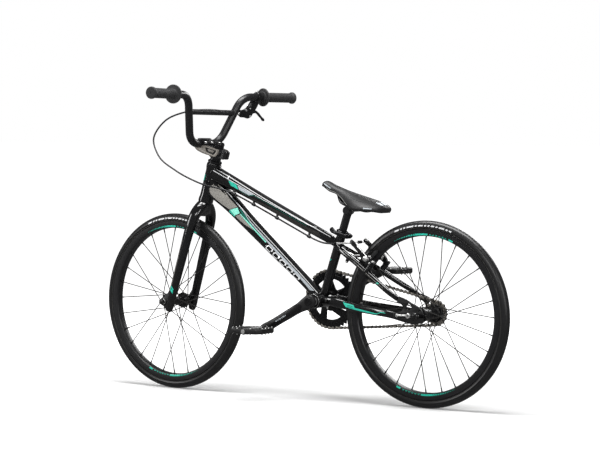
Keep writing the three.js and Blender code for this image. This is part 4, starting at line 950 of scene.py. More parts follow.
def build_chainring_and_cranks():
    turn = Matrix.Translation(BB) @ Matrix.Rotation(-CRANK_ANGLE, 4, "Y")
    ring_ = Shape()
    windows = []
    for k in range(5):
        a = radians(72 * k)
        outer = arc(0, 0, 57, a - radians(22), a + radians(25), 14)
        inner = arc(0, 0, 33, a + radians(34), a + radians(4), 8)
        windows.append(outer + inner)
    ring_.add(toothed(CHAINRING_TEETH, CHAIN_Y - 1.2, CHAIN_Y + 1.2, windows), 0)
    ring_.add(ring(61, 70, -0.9, 0.9, 0.5, 120), 0, facing((0, CHAIN_Y + 1.6, 0), LEFT))
    for k in range(5):
        a = radians(72 * k + 36)
        for y, side in ((CHAIN_Y + 1.2, 1), (CHAIN_Y - 1.2, -1)):
            at = facing((26.5 * cos(a), y, 26.5 * sin(a)), (0, side, 0))
            ring_.socket_bolt(3.6, 2.2, 1, at)
    ring_.add(ring(12.4, 21.5, CHAIN_Y - 8, CHAIN_Y + 3, 0.8, 48), 0)
    piece("chainring_plate", ring_, [ANODISED, STEEL], "cranks", ["chainring"], matrix=turn)

    spindle = Shape().add(disc(11.8, -55.4, 55.4, 0.6, 48))
    piece("crank_axle", spindle, [STEEL], "cranks", ["crank_spindle"], matrix=turn)

    # Rows along an arm: distance, half-width, half-thickness, middle of its thickness.
    rows = [(-19, 3, 4, 63), (-17.5, 9, 6.6, 63), (-12, 15.5, 7, 63), (0, 19.2, 7, 63), (14, 18, 7, 63),
            (34, 14.5, 6.8, 63.2), (80, 13.2, 6.2, 64), (130, 12.6, 5.9, 64), (152, 13.4, 6, 64),
            (170, 14.2, 6.2, 64), (179, 12, 6.2, 64), (183.2, 6, 5.6, 64), (184, 2, 5, 64)]
    for side, name in SIDES:
        place = Matrix.Translation(BB) @ Matrix.Rotation(-(CRANK_ANGLE + (0 if side > 0 else pi)), 4, "Y")
        place = place @ flip(side)
        arm = Shape()
        sections = []
        for x, width, thick, y in spline(rows, 5):
            sections.append(oval(Vector((x, y, 0)), UP, LEFT, max(width, 1), max(thick, 1), 40, 3.4))
        arm.add(loft(sections))
        groove = spline([(30, -7.5), (90, -5.5), (146, -4), (150, 0), (146, 4), (90, 5.5), (30, 7.5),
                         (24, 0)], 5, closed=True)
        arm.add(plate([groove], 68.9, 70.35, 0.3), 1)
        for x, width in ((84, 3), (89, 6), (97, 3), (102, 9), (113, 3), (118, 5)):
            dash = [(x, -1.6), (x + width, -1.6), (x + width + 1, 1.6), (x + 1, 1.6)]
            arm.add(plate([dash], 69.6, 70.6, 0.1), 2)
        bolt = Matrix.Translation((0, 69.4, 0))
        arm.add(ring(7.2, 11.5, 0, 2, 0.6, 40), 1, bolt)
        arm.socket_bolt(7.4, 1.8, 1, bolt)
        arm.add(ring(6, 9.4, 69.6, 70.9, 0.4, 32), 1, Matrix.Translation((CRANK_LENGTH, 0, 0)))
        piece("crank_arm_" + name, arm, [FORGED, ANODISED, SILVER_PRINT_AND_HIGHLIGHT, STEEL], "cranks", ["crank_" + name],
              matrix=place)

        end = BB + Vector((cos(CRANK_ANGLE), 0, sin(CRANK_ANGLE))) * CRANK_LENGTH * side
        place = Matrix.Translation(end) @ flip(side)
        axle = Shape().add(disc(7.8, 70.9, 75, 0.5, 6))
        axle.add(lathe([(0, 62), (4.8, 62), (4.8, 150), (4, 164), (0, 164)], 24))
        piece("pedal_spindle_" + name, axle, [STEEL], "cranks", ["pedal_axle_" + name], matrix=place)
        piece("pedal_body_" + name, pedal_shape(), [FORGED, STEEL], "pedal_" + name, ["pedal_" + name],
              matrix=place)


def pedal_shape():
    shape = Shape()
    rim = rounded([(0, 84, 0), (-42, 84, 0), (-49, 100, 0), (-50, 150, 0), (-40, 167, 0), (0, 167, 0)], 7, 5)
    rim += [Vector((-p.x, p.y, p.z)) for p in reversed(rim[1:-1])]
    sections = []
    for centre, along in zip(rim, directions(rim, closed=True)):
        sections.append(oval(centre, UP, along.cross(UP), 7, 3.2, 20, 4))
    shape.add(loft(sections, closed=True))
    shape.add(lathe([(5.6, 77.4), (8.4, 77.4), (9, 78.2), (9, 92), (10.4, 98), (10.4, 150), (9.4, 158),
                     (9.4, 168.6), (8.6, 169.6), (0, 169.6)], 36))
    for y in (104, 126, 148):
        web = [oval(Vector((x, y, 0)), UP, LEFT, 5.2, 3.6, 16, 4) for x in (-48, -10, 10, 48)]
        shape.add(loft(web))
    for x in (-50, 50):
        for y in (100, 116, 132, 148):
            shape.add(disc(1.7, -9.6, 9.6, 0.4, 12), 1, facing((x * 0.985, y, 0), UP))
    for x in (-22, 22):
        for y in (85, 166):
            shape.add(disc(1.7, -9.2, 9.2, 0.4, 12), 1, facing((x, y, 0), UP))
    shape.add(disc(6.2, 169.4, 170.6, 0.5, 32), 1)
    return shape


def chain_path():
    """The chain's loop as a function of distance, round the chainring's front and the cog's back."""
    big, small = pitch_radius(CHAINRING_TEETH), pitch_radius(COG_TEETH)
    span, lean = hypot(BB.x, BB.z - AXLE_HEIGHT), atan2(BB.z - AXLE_HEIGHT, BB.x)
    wrap = acos((big - small) / span)
    free = (span**2 - (big - small) ** 2) ** 0.5
    top, bottom = lean + pi - wrap, lean - pi + wrap

    def around(centre, radius, angle):
        return Vector((centre.x + radius * cos(angle), CHAIN_Y, centre.z + radius * sin(angle)))

    def straight(angle, forward):
        ends = around(REAR_AXLE, small, angle), around(BB, big, angle)
        start, stop = ends if forward else reversed(ends)
        return lambda distance: start.lerp(stop, distance / free)

    legs = [(2 * (pi - wrap) * big, lambda distance: around(BB, big, top - distance / big)),
            (free, straight(bottom, False)),
            (2 * wrap * small, lambda distance: around(REAR_AXLE, small, bottom - distance / small)),
            (free, straight(top, True))]
    total = sum(length for length, _ in legs)

    def at(distance):
        distance %= total
        for length, leg in legs:
            if distance < length or leg is legs[-1][1]:
                return leg(distance)
            distance -= length

    return at, total


def build_chain():
    at, length = chain_path()
    links = 2 * round(length / PITCH / 2)
    shape = Shape()
    side_plate = [*arc(0, 0, 4.3, radians(50), radians(310), 9), (PITCH / 2, -2.1),
                  *arc(PITCH, 0, 4.3, radians(-130), radians(130), 9), (PITCH / 2, 2.1)]
    flat = {y: plate([side_plate], y - 0.5, y + 0.5, 0.15) for y in (2.2, 3.3)}
    for i in range(links):
        here, there = at(length * i / links), at(length * (i + 1) / links)
        along = (there - here).normalized()
        place = axes(here, along, LEFT, along.cross(LEFT))
        y = 3.3 if i % 2 else 2.2
        for side in (1, -1):
            shape.add(flat[y], 0 if i % 2 else 1, place @ flip(side))
        shape.add(disc(3.8, -1.6, 1.6, 0.3, 16), 1, Matrix.Translation(here))
        shape.add(disc(1.8, -4.3, 4.3, 0.3, 12), 0, Matrix.Translation(here))
    piece("chain_links", shape, [CHAIN_LIGHT, CHAIN_DARK], "frame", ["chain"])


def build_freewheel():
    shape = Shape()
    shape.add(toothed(COG_TEETH, CHAIN_Y - 1.2, CHAIN_Y + 1.2, [arc(0, 0, 12.4, 0, 2 * pi * 31 / 32, 31)]), 0)
    shape.add(ring(12.3, 25, -53.4, -39, 0.8, 48), 1)
    shape.add(ring(12.6, 19, -53.8, -53, 0.2, 48), 0)
    for k in range(4):
        a = pi / 4 + k * pi / 2
        shape.add(disc(1.6, -54, -53, 0.2, 12), 0, Matrix.Translation((22 * cos(a), 0, 22 * sin(a))))
    piece("freewheel_body", shape, [CHAIN_LIGHT, FORGED], "freewheel", ["freewheel"],
          matrix=Matrix.Translation(REAR_AXLE))


# ---------------------------------------------------------------- fork, stem and bars
# Rows down the left blade: place along the steering axis, y, half-depth and half-width.
FORK_LEG = [(-119.5, 5, 17, 10), (-124, 10, 18.4, 13), (-131, 17, 18.4, 14), (-143, 28, 17.5, 14),
            (-158, 37, 16.5, 13), (-176, 42, 16, 11.8), (-200, 44.2, 15.3, 11), (-300, 48, 13.8, 10),
            (-400, 51.5, 12.4, 9.2), (-438, 52.3, 11.8, 8.8), (-444, 52.3, 10, 7.4), (-447, 52.3, 6, 4)]


def build_fork():
    rows = spline(FORK_LEG, 6)
    sections = []
    for (w, y, a, b), along in zip(rows, directions([Vector((0, row[1], row[0])) for row in rows])):
        across = FORWARD.cross(along)
        sections.append(oval(Vector((-1, y, w)), FORWARD, across, max(a, 1), max(b, 1), 40, STAY_POWER))
    shape = Shape()
    for side in (1, -1):
        shape.add(loft(sections), 0, flip(side))
    crown = []
    for w, a, b in spline([(-119.3, 18.5, 18.5), (-126, 19, 21), (-136, 18.5, 25), (-148, 15, 28),
                           (-157, 10, 29)], 5):
        crown.append(oval(Vector((0, 0, w)), FORWARD, LEFT, a, b, 40, 2.4))
    shape.add(loft(crown))
    made = piece("fork_blades", shape, [PAINT], "steering", ["fork"], matrix=STEER, crease=60)
    merge = made.modifiers.new("Merge", "REMESH")
    merge.mode = "VOXEL"
    merge.voxel_size = 1.5 * MM
    merge.use_smooth_shade = True
    relax = made.modifiers.new("Relax", "SMOOTH")
    relax.factor = 0.5
    relax.iterations = 8

    metal = Shape().add(disc(14.3, -125, 44, 0.5, 48), 0, UPRIGHT)
    race = [(15, -119.2), (20, -119.2), (20.6, -120.2), (20.6, -122.5), (15, -122.5), (15, -119.2)]
    metal.add(lathe(race, 56), 0, UPRIGHT)
    piece("fork_steerer", metal, [ANODISED], "steering", matrix=STEER)

    tabs = Shape()
    lobe = arc(WHEELBASE, AXLE_HEIGHT, 12.5, radians(-100), radians(115), 16)
    outline = [*lobe, (WHEELBASE - 22, AXLE_HEIGHT + 34), (WHEELBASE - 32, AXLE_HEIGHT + 14),
               (WHEELBASE - 28, AXLE_HEIGHT - 17)]
    hole = arc(WHEELBASE, AXLE_HEIGHT, 5.1, 0, 2 * pi * 23 / 24, 23)
    for side in (1, -1):
        tabs.add(plate([outline, hole], 50, 55.5, 0.7), 0, flip(side))
    piece("fork_ends", tabs, [FORGED], "steering", matrix=TURN)

    marks = Shape()

    def surface(x, v, lift, side=1):
        i, t = locate(rows, x)
        w, y, a, b = rows[i].lerp(rows[i + 1], t)
        return Vector((-1 + v * a, side * (y + bulge(v, STAY_POWER) * b + lift + 0.1), w))

    mark = marker(marks, surface)
    mark(0, [(-377, -0.4), (-381, -0.4)], [(-369, 0.5), (-373, 0.5)], step=3)
    mark(0, [(-383, -0.4), (-390, -0.4)], [(-375, 0.5), (-382, 0.5)], step=3)
    mark(1, [(-230, 0.5), (-300, 0.46), (-370, 0.4)], [(-230, 0.58), (-300, 0.56), (-370, 0.5)])
    piece("fork_marks", marks, [MINT, TAUPE], "steering", matrix=STEER)

    axle = Shape()
    build_axle(axle, 69, 55.8 + 2.6, 66)
    piece("front_axle_metal", axle, [FORGED, STEEL], "steering", ["front_axle"],
          matrix=TURN @ Matrix.Translation(FRONT_AXLE))


BAR_U, BAR_W = 52.7, 41.5  # the bar's centre ahead of the steering axis, and along it


def build_stem():
    block = [(-12, 20), (-8, 19), (50, 19.6), (60, 22), (68, 28), (71, 34), (71, BAR_W - 0.4),
             (36, BAR_W - 0.4), (28, 44.6), (-12, 44.6)]
    trough = arc(BAR_U, BAR_W, BAR_R + 0.4, 0, -pi, 18)
    notched = block[:7] + [(p[0], min(p[1], BAR_W - 0.4)) for p in trough] + block[7:]
    core = Shape().add(plate([notched], -19.6, 19.6, 1.2), 0)
    cheek = spline([(68, 29), (70.4, 36), (69.5, 40.5), (40, 41), (27, 43.6), (-10, 44.6), (-20.5, 43.6),
                    (-20, 36), (-13, 22.6), (6, 20.4), (48, 20.4), (60, 23)], 3, closed=True)
    window = [(29, 38.4), (-11, 40.6), (-13, 38), (-7, 27), (-4, 25.6), (20, 26.6), (23, 28.6)]
    inset = [(20, 36.2), (-5, 37.8), (-1, 30.4), (15, 31)]
    for side in (1, -1):
        core.add(plate([cheek, window], side * 19.4, side * 22.9, 0.6), 1)
        core.add(plate([inset], side * 19.4, side * 21.6, 0.4), 1)
    core.add(lathe([(14.6, 17), (20, 17), (20.4, 17.6), (20.4, 44.4), (20, 45), (14.6, 45), (14.6, 17)], 56),
             0, UPRIGHT)
    for side in (1, -1):
        ear = [(-36, 23), (-33, 20.2), (-12, 19.4), (-12, 45), (-33, 44.6), (-36, 42)]
        core.add(plate([ear], side * 1.4, side * 13, 1), 0)
        for w in (26.5, 38.5):
            seat = facing((-29.5, side * 12.8, w), (0, side, 0))
            core.add(ring(3.4, 5.4, 0, 1.4, 0.4, 32), 0, seat)
            core.socket_bolt(3.2, 2.4, 0, seat)
    piece("stem_body", core, [SATIN, GREY, STEEL], "steering", ["stem"], matrix=STEER)

    cap = Shape()
    top = [(35, BAR_W + 0.4), (37.5, 50), *arc(BAR_U, BAR_W, 17, radians(142), radians(38), 16), (70, 50),
           (72, BAR_W + 0.4)]
    hollow = arc(BAR_U, BAR_W + 0.4, BAR_R + 0.4, 0, pi, 18)
    cap.add(plate([top + hollow], -23, 23, 0.9), 0)
    for u in (37, 70):
        for y in (-14, 14):
            at = facing((u, y, 47), UP)
            cap.add(disc(5.4, -5, 2.2, 0.8, 32), 0, at)
            cap.socket_bolt(4.2, 4.4, 1, at @ Matrix.Translation((0, 1.6, 0)))
    piece("stem_clamp_cap", cap, [ANODISED, STEEL], "steering", ["stem_cap"], matrix=STEER)

    cover = [(14.8, -0.6), (18, -0.6), (18, 1.6), (20.4, 2.2), (20.6, 3), (20.2, 6.6), (17, 8.2), (14.8, 8.2),
             (14.8, -0.6)]
    stack = Shape().add(lathe(cover, 56), 0, UPRIGHT)
    stack.add(ring(14.8, 15.8, 8.4, 16.7, 0.3, 56), 0, UPRIGHT)
    piece("headset_spacers", stack, [ANODISED], "steering", ["headset_cover"], matrix=STEER)
    top_cap = Shape().add(ring(14.6, 15.8, 45.4, 53.6, 0.5, 48), 0, UPRIGHT)
    dome = [(0, 53.8), (15.6, 53.8), (16, 54.6), (16, 58), (14, 61.6), (5, 62.6), (4.6, 60.4), (0, 60.4)]
    top_cap.add(lathe(dome, 48), 0, UPRIGHT)
    top_cap.socket_bolt(4.2, 2.4, 1, UPRIGHT @ Matrix.Translation((0, 60.2, 0)))
    piece("stem_top_cap", top_cap, [ANODISED, STEEL], "steering", ["top_cap"], matrix=STEER)


BAR_LOW, BAR_HIGH, BAR_END = Vector((744.8, 65, 708.7)), Vector((704, 122, 846)), Vector((671, 324, 847))


def build_bars():
    reach = BAR_END - BAR_HIGH
    left = [BAR_LOW, BAR_HIGH, BAR_END - reach.normalized() * 4]
    corners = [flip(-1) @ p for p in reversed(left)] + left
    bar = Shape().add(tube(rounded(corners, 55, 14), BAR_R, 40))
    joint = BAR_LOW.lerp(BAR_HIGH, (799 - BAR_LOW.z) / (BAR_HIGH.z - BAR_LOW.z))
    bar.add(tube([flip(-1) @ joint, joint], 8, 32))
    slope = (BAR_HIGH - BAR_LOW).normalized()
    for side in (1, -1):  # weld rings where the crossbar meets the uprights
        path = []
        for k in range(48):
            a = 2 * pi * k / 48
            start = joint + Vector((cos(a) * 8, 0, sin(a) * 8))
            b = start - joint - slope * (start - joint).dot(slope)
            d = LEFT - slope * slope.y
            half, rest = d.dot(b) / d.dot(d), (b.dot(b) - BAR_R**2) / d.dot(d)
            spot = start + LEFT * (-half - max(0, half * half - rest) ** 0.5)
            path.append(spot if side > 0 else flip(-1) @ spot)
        bar.add(tube(path, [1.5 + 0.2 * (k % 2) for k in range(48)], 8, closed=True))
    piece("handlebar_tube", bar, [SATIN], "steering", ["handlebar"], matrix=TURN)

    for side, name in SIDES:
        end = Vector((BAR_END.x, BAR_END.y * side, BAR_END.z))
        inward = Vector((BAR_HIGH.x, BAR_HIGH.y * side, BAR_HIGH.z)) - end
        ribs = []
        for k in range(36):
            y = 14 + 2.8 * k
            ribs += [(13.4, y), (14.1, y + 0.5), (14.1, y + 1.9), (13.4, y + 2.4)]
        profile = [(0, 1.6), (2.4, 1.6), (3, 0.6), (13, 0), (15.8, 0.8), (17, 3), (17, 7.6), (15.8, 9.6),
                   (14.4, 11), *ribs, (14.4, 117), (16, 118), (25.6, 119), (26.6, 120.4), (26.6, 122.6),
                   (25.6, 124), (17, 124.6), (16.2, 125.4), (16, 127.6), (11.3, 128), (11.3, 3.5), (0, 3.5)]
        grip = Shape().add(lathe(profile, 56), 0, facing(end, inward))
        for k in range(14):  # ribs round the flange's rim
            a = 2 * pi * k / 14
            low, high = Vector((24 * sin(a), 120, 24 * cos(a))), Vector((24 * sin(a), 125, 24 * cos(a)))
            grip.add(tube([low, high], 1.3, 8), 0, facing(end, inward))
        piece("grip_rubber_" + name, grip, [RUBBER], "steering", ["grip_" + name], matrix=TURN)


# ---------------------------------------------------------------- brake
LEVER_DROP = radians(58)
LEVER_SPAN = (BAR_END - BAR_HIGH).normalized()
LEVER_SPAN.y = -LEVER_SPAN.y
LEVER_FACE = Vector((cos(LEVER_DROP), 0, -sin(LEVER_DROP)))
LEVER_OUT = (LEVER_SPAN - LEVER_FACE * LEVER_SPAN.dot(LEVER_FACE)).normalized()
LEVER_NORMAL = LEVER_OUT.cross(LEVER_FACE)
LEVER_BASE = flip(-1) @ BAR_HIGH + LEVER_SPAN * 60
LEVER = TURN @ axes(LEVER_BASE, LEVER_OUT, -LEVER_NORMAL, LEVER_FACE)


def build_lever():
    perch = Shape()
    perch.add(ring(BAR_R + 0.3, 15, -6.5, 6.5, 1, 48), 0, facing((0, 0, 0), FORWARD))
    outline = spline([(-7, 10), (-13, 20), (-15, 34), (-19, 44), (-28, 50), (-42, 53), (-43, 60), (-40, 66),
                      (-20, 68),
                        (-1, 69), (6, 63), (8, 48), (11, 34), (11, 22), (7, 10)], 5, closed=True)
    for y0, y1 in ((-7, -4.1), (4.1, 7)):
        perch.add(plate([outline], y0, y1, 0.9), 0)
    # The web between the cheeks stops short of the blade's swing.
    web = [p for p in outline if p[1] < 39 or p[0] < -11.8] + [(-12, 53), (-2, 52), (3, 44), (6, 39.2)]
    centre = (-12, 45)
    web.sort(key=lambda p: atan2(p[1] - centre[1], p[0] - centre[0]))
    perch.add(plate([web], -4.3, 4.3, 0.3), 0)
    for n in (1, -1):
        pivot = facing((0, 7 * n, 60), (0, n, 0))
        perch.add(ring(2.6, 5, -0.4, 1.2, 0.3, 28), 0, pivot)
        perch.socket_bolt(3.6, 2.2, 1, pivot)
        perch.socket_bolt(2.2, 1.4, 1, facing((-13, 7 * n, 36), (0, n, 0)))
    perch.add(disc(2.4, -7, 7, 0.2, 20), 1, facing((0, 0, 60), LEFT))
    perch.socket_bolt(3.6, 3.4, 1, facing((0, -9, -12), (0, -0.8, -0.6)))
    barrel = facing((-38, 0, 60), (-1, 0, -0.03))
    profile = [(2.7, -1), (4.4, -1), (4.4, 5)] + [(4.9 - 0.5 * (k % 2), 5.4 + 0.9 * k) for k in range(10)]
    perch.add(lathe([*profile, (3.6, 14.4), (3.6, 18), (3.2, 19), (2.7, 19), (2.7, -1)], 32), 1, barrel)
    piece("lever_bracket", perch, [ANODISED, STEEL], "steering", ["lever_perch"], matrix=LEVER)

    blade = Shape()
    rows = spline([(-9, 62.5, 3.2, 3), (-1, 60.5, 6.2, 3.5), (6, 54.5, 5, 3.5), (13, 49.6, 4.4, 3.5),
                   (20, 47.6, 4.2, 3.5), (31, 50.8, 4, 3.5), (44, 58.2, 3.7, 3.4), (58, 65.8, 3.5, 3.3),
                   (66, 70, 4.5, 3.5), (70.5, 72.4, 2.6, 3)], 6)
    sections = []
    for (s, f, a, b), along in zip(rows, directions([Vector((row[0], 0, row[1])) for row in rows])):
        sections.append(oval(Vector((s, 0, f)), Vector((-along.z, 0, along.x)), LEFT, a, b, 24, 2.6))
    blade.add(loft(sections))
    piece("lever_blade", blade, [ANODISED], "brake_lever", ["brake_lever"], matrix=LEVER)


def build_rear_brake():
    for side, name in SIDES:
        place = BRAKE @ flip(side)
        arm = Shape()
        pivot = facing((BRAKE_PIVOT_R, BRAKE_PIVOT_Y, 0), UP)
        arm.add(ring(4, 7.6, -7.4, 8, 0.8, 36), 0, pivot)
        arm.add(ring(4, 9, -7.9, -5.6, 0.6, 36), 1, pivot)
        arm.socket_bolt(5, 3.4, 2, pivot @ Matrix.Translation((0, 8.4, 0)))
        rows = spline([(203, 40.5, 7.6, 6), (212, 41, 8.6, 5.6), (222, 41, 9, 5.4), (234, 40.4, 8, 5),
                       (252, 39, 6.6, 4.8), (272, 37, 6, 4.6), (288, 35.2, 6.4, 4.6), (294, 34.8, 4.4, 3.6)],
                      5)
        sections = []
        for r, y, a, b in rows:
            sections.append(oval(Vector((r, y, 2)), UP, LEFT, a, b, 28, 3))
        arm.add(loft(sections))
        # The return spring: two turns round the pivot and a leg up the back of the arm.
        coil = [Vector((BRAKE_PIVOT_R + 6.6 * cos(a), BRAKE_PIVOT_Y + 6.6 * sin(a), -10 + 0.36 * a))
                for a in [k * pi / 8 for k in range(33)]]
        leg = [Vector((214, 47.5, 8)), Vector((240, 45.6, 9)), Vector((266, 43.6, 9.5)),
               Vector((270, 41, 9.5))]
        arm.add(tube(spline([*coil[:-1:4], coil[-1], *leg], 5), 0.8, 8), 2)
        arm.socket_bolt(2.6, 2, 2, facing((BRAKE_PIVOT_R + 4, BRAKE_PIVOT_Y + 8.4, 2), LEFT))
        top = Vector((285, 35, 2))
        if side > 0:  # the hook that carries the noodle's end
            hook = arc(0, 0, 8, radians(-60), radians(240), 16)
            metal = plate([hook], -1, 1, 0.3)
            arm.add(metal, 2, facing((286, 23, 2), FORWARD) @ Matrix.Rotation(pi / 2, 4, "X"))
            arm.add(tube([Vector((288, 30, 4)), Vector((288, 20, 3)), Vector((286, 12, 2))], 2.4, 12), 2)
        else:
            clamp = facing(top + Vector((2, -6, 6)), UP)
            arm.add(disc(6.4, -1, 1.2, 0.4, 32), 2, clamp)
            arm.socket_bolt(4.4, 4, 2, clamp @ Matrix.Translation((0, 1.2, 0)))
        piece("brake_lever_arm_" + name, arm, [ANODISED, SATIN, STEEL], "brake_" + name,
              ["brake_arm_" + name], matrix=place)

        pad = Shape()
        block = []
        for t in range(-30, 31, 3):
            ease = min(1.0, ((30 - abs(t)) / 5) ** 0.5) if abs(t) < 30 else 0.25
            bow = PAD_BEND_R - PAD_BEND_R * cos(asin(t / PAD_BEND_R))
            at = Vector((PAD_R - bow, 19.4, t + 2))
            block.append(oval(at, FORWARD, LEFT, 5 * max(ease, 0.25), 4.4, 24, 4))
        pad.add(loft(block), 0)
        post = facing((PAD_R, 0, 2), LEFT)
        pad.add(disc(5.6, 23.4, 25.6, 0.4, 32), 0, post)
        pad.add(disc(3.1, 24, 54, 0.3, 24), 1, post)
        for y0, y1, r in ((28, 30, 7.4), (30, 33.4, 6.4), (33.4, 35.4, 7.6), (46.6, 48.6, 7.6),
                          (48.6, 49.6, 6)):
            pad.add(ring(3.3, r, y0, y1, 0.5, 32), 1, post)
        pad.add(hex_nut(5.6, 4.6), 1, post @ Matrix.Translation((0, 49.6, 0)))
        piece("brake_pad_assembly_" + name, pad, [RUBBER, STEEL], "brake_" + name, ["brake_pad_" + name],
              matrix=place)


# The cable's way, in three runs: the noodle at the brake, the housing on the top tube and the free loop.
NOODLE = [(270, 26, 438), (255, 26, 439), (240, 26, 440), (226, 26, 441), (217.5, 24, 442),
          (214.5, 18, 442.5), (214, 8, 442.5)]
HOUSING = [(619.4, 19, 566), (600, 15, 557), (560, 14, 539), (520, 14, 521), (480, 14, 503), (440, 14, 484.8),
           (405, 14, 469), (372, 14, 454), (345, 16, 444), (322, 20, 438.5), (300, 24, 437), (275, 26, 437.8)]
LOOP = [(726.4, -127, 798.2), (735, -98, 802), (775, -60, 807), (831, -25, 800), (885, -2, 775),
        (914, 15, 725), (888, 28, 676), (819, 38, 633), (762, 42, 609), (709, 42, 592), (662, 33, 582),
        (632.4, 19, 571.8)]


def build_cable():
    loop = Shape().add(tube(spline(LOOP, 14), CABLE_R, 16))
    first, second = Vector(LOOP[0]), Vector(LOOP[1])
    loop.add(disc(3.1, -1, 10, 0.4, 20), 1, facing(first, second - first))
    made = piece("brake_cable_front_loop", loop, [HOUSING_LOOK, ANODISED], None, ["brake_cable_loop"])
    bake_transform(made)

    rear = Shape().add(tube(spline(HOUSING, 10), CABLE_R, 16))
    ends = (Vector(HOUSING[0]), Vector(HOUSING[1])), (Vector(HOUSING[-1]), Vector(HOUSING[-2]))
    for tip, inside in ends:
        rear.add(disc(3.1, -0.2, 9, 0.4, 20), 1, facing(tip, inside - tip))
    piece("brake_housing_rear", rear, [HOUSING_LOOK, ANODISED], "frame", ["brake_housing"])

    path = spline(NOODLE, 8)
    guide = Shape().add(tube(path, NOODLE_R, 20))
    guide.add(disc(3.5, -1, 9, 0.5, 24), 0, facing(path[0], path[8] - path[0]))
    # The rubber boot, and the bare wire that goes on to the other arm.
    end = Vector(NOODLE[-1])
    folds = [(0, -1), (3.4, -1)]
    for k in range(7):
        folds += [(4.6 - 0.1 * k, 1 + 2.6 * k), (3.2 - 0.1 * k, 2.4 + 2.6 * k)]
    guide.add(lathe([*folds, (1.4, 20), (0, 20)], 28), 1, facing(end, (0, -1, 0)))
    wire = [end + Vector((0, -18, 0)), Vector((211, -22, 440)), Vector((208, -34, 436)),
            Vector((214, -44, 424))]
    guide.add(tube(spline(wire, 8), WIRE_R, 10), 0)
    piece("brake_noodle_and_boot", guide, [STEEL, RUBBER], "brake_left", ["brake_noodle"])


# ---------------------------------------------------------------- saddle and seatpost
NOSE, TAIL = Vector((335, 0, 605)), Vector((119, 0, 541))
SADDLE_ALONG = (TAIL - NOSE).normalized()
SADDLE_UP = Vector((SADDLE_ALONG.z, 0, -SADDLE_ALONG.x))
RAIL_Y, RAIL_R = 22, 3.5
SADDLE = axes(NOSE, SADDLE_ALONG, SADDLE_UP.cross(SADDLE_ALONG), SADDLE_UP)
# Rows from nose to tail: distance, half-width, crown above the edge, edge thickness, lift.
SADDLE_ROWS = [(2, 3, 3, 5, -2), (5, 9, 6, 7, 3), (12, 14, 9, 8, 8), (23, 16.5, 12, 8, 8.5),
               (38, 18, 13, 8, 6), (60, 19.5, 13, 6.5, 4.5), (82, 23, 18, 6, 3.5), (111, 38, 26, 6, 3),
               (145, 56.5, 30, 6, 3), (173, 61, 25, 6, 3), (192, 55, 19, 6, 2), (205, 46, 15, 6, 0.5),
               (213, 37, 13, 6, -1), (218, 26, 11, 6, -3), (221, 12, 8, 6, -5)]


def saddle_rows(steps=5):
    """Smooth rows through SADDLE_ROWS."""
    head = spline([row[:3] for row in SADDLE_ROWS], steps)
    tail = spline([(row[0], *row[3:]) for row in SADDLE_ROWS], steps)
    return [(a[0], a[1], a[2], b[1], b[2]) for a, b in zip(head, tail)]


def saddle_spot(rows, t, k, lift):
    """The point on the saddle's top at distance t, a share k of the half-width to the left."""
    i, share = locate(rows, t)
    _, width, crown, _, rise = [a + (b - a) * share for a, b in zip(rows[i], rows[i + 1])]
    height = rise - crown * (1 - max(0.0, 1 - abs(k) ** 2.3) ** 0.62)
    # A shallow channel runs down the middle, from behind the nose.
    dip = -1.2 * max(0, 1 - (k / 0.22) ** 2) * max(0.0, min(1, (t - 40) / 40))
    return Vector((t, k * width, height + dip + lift))


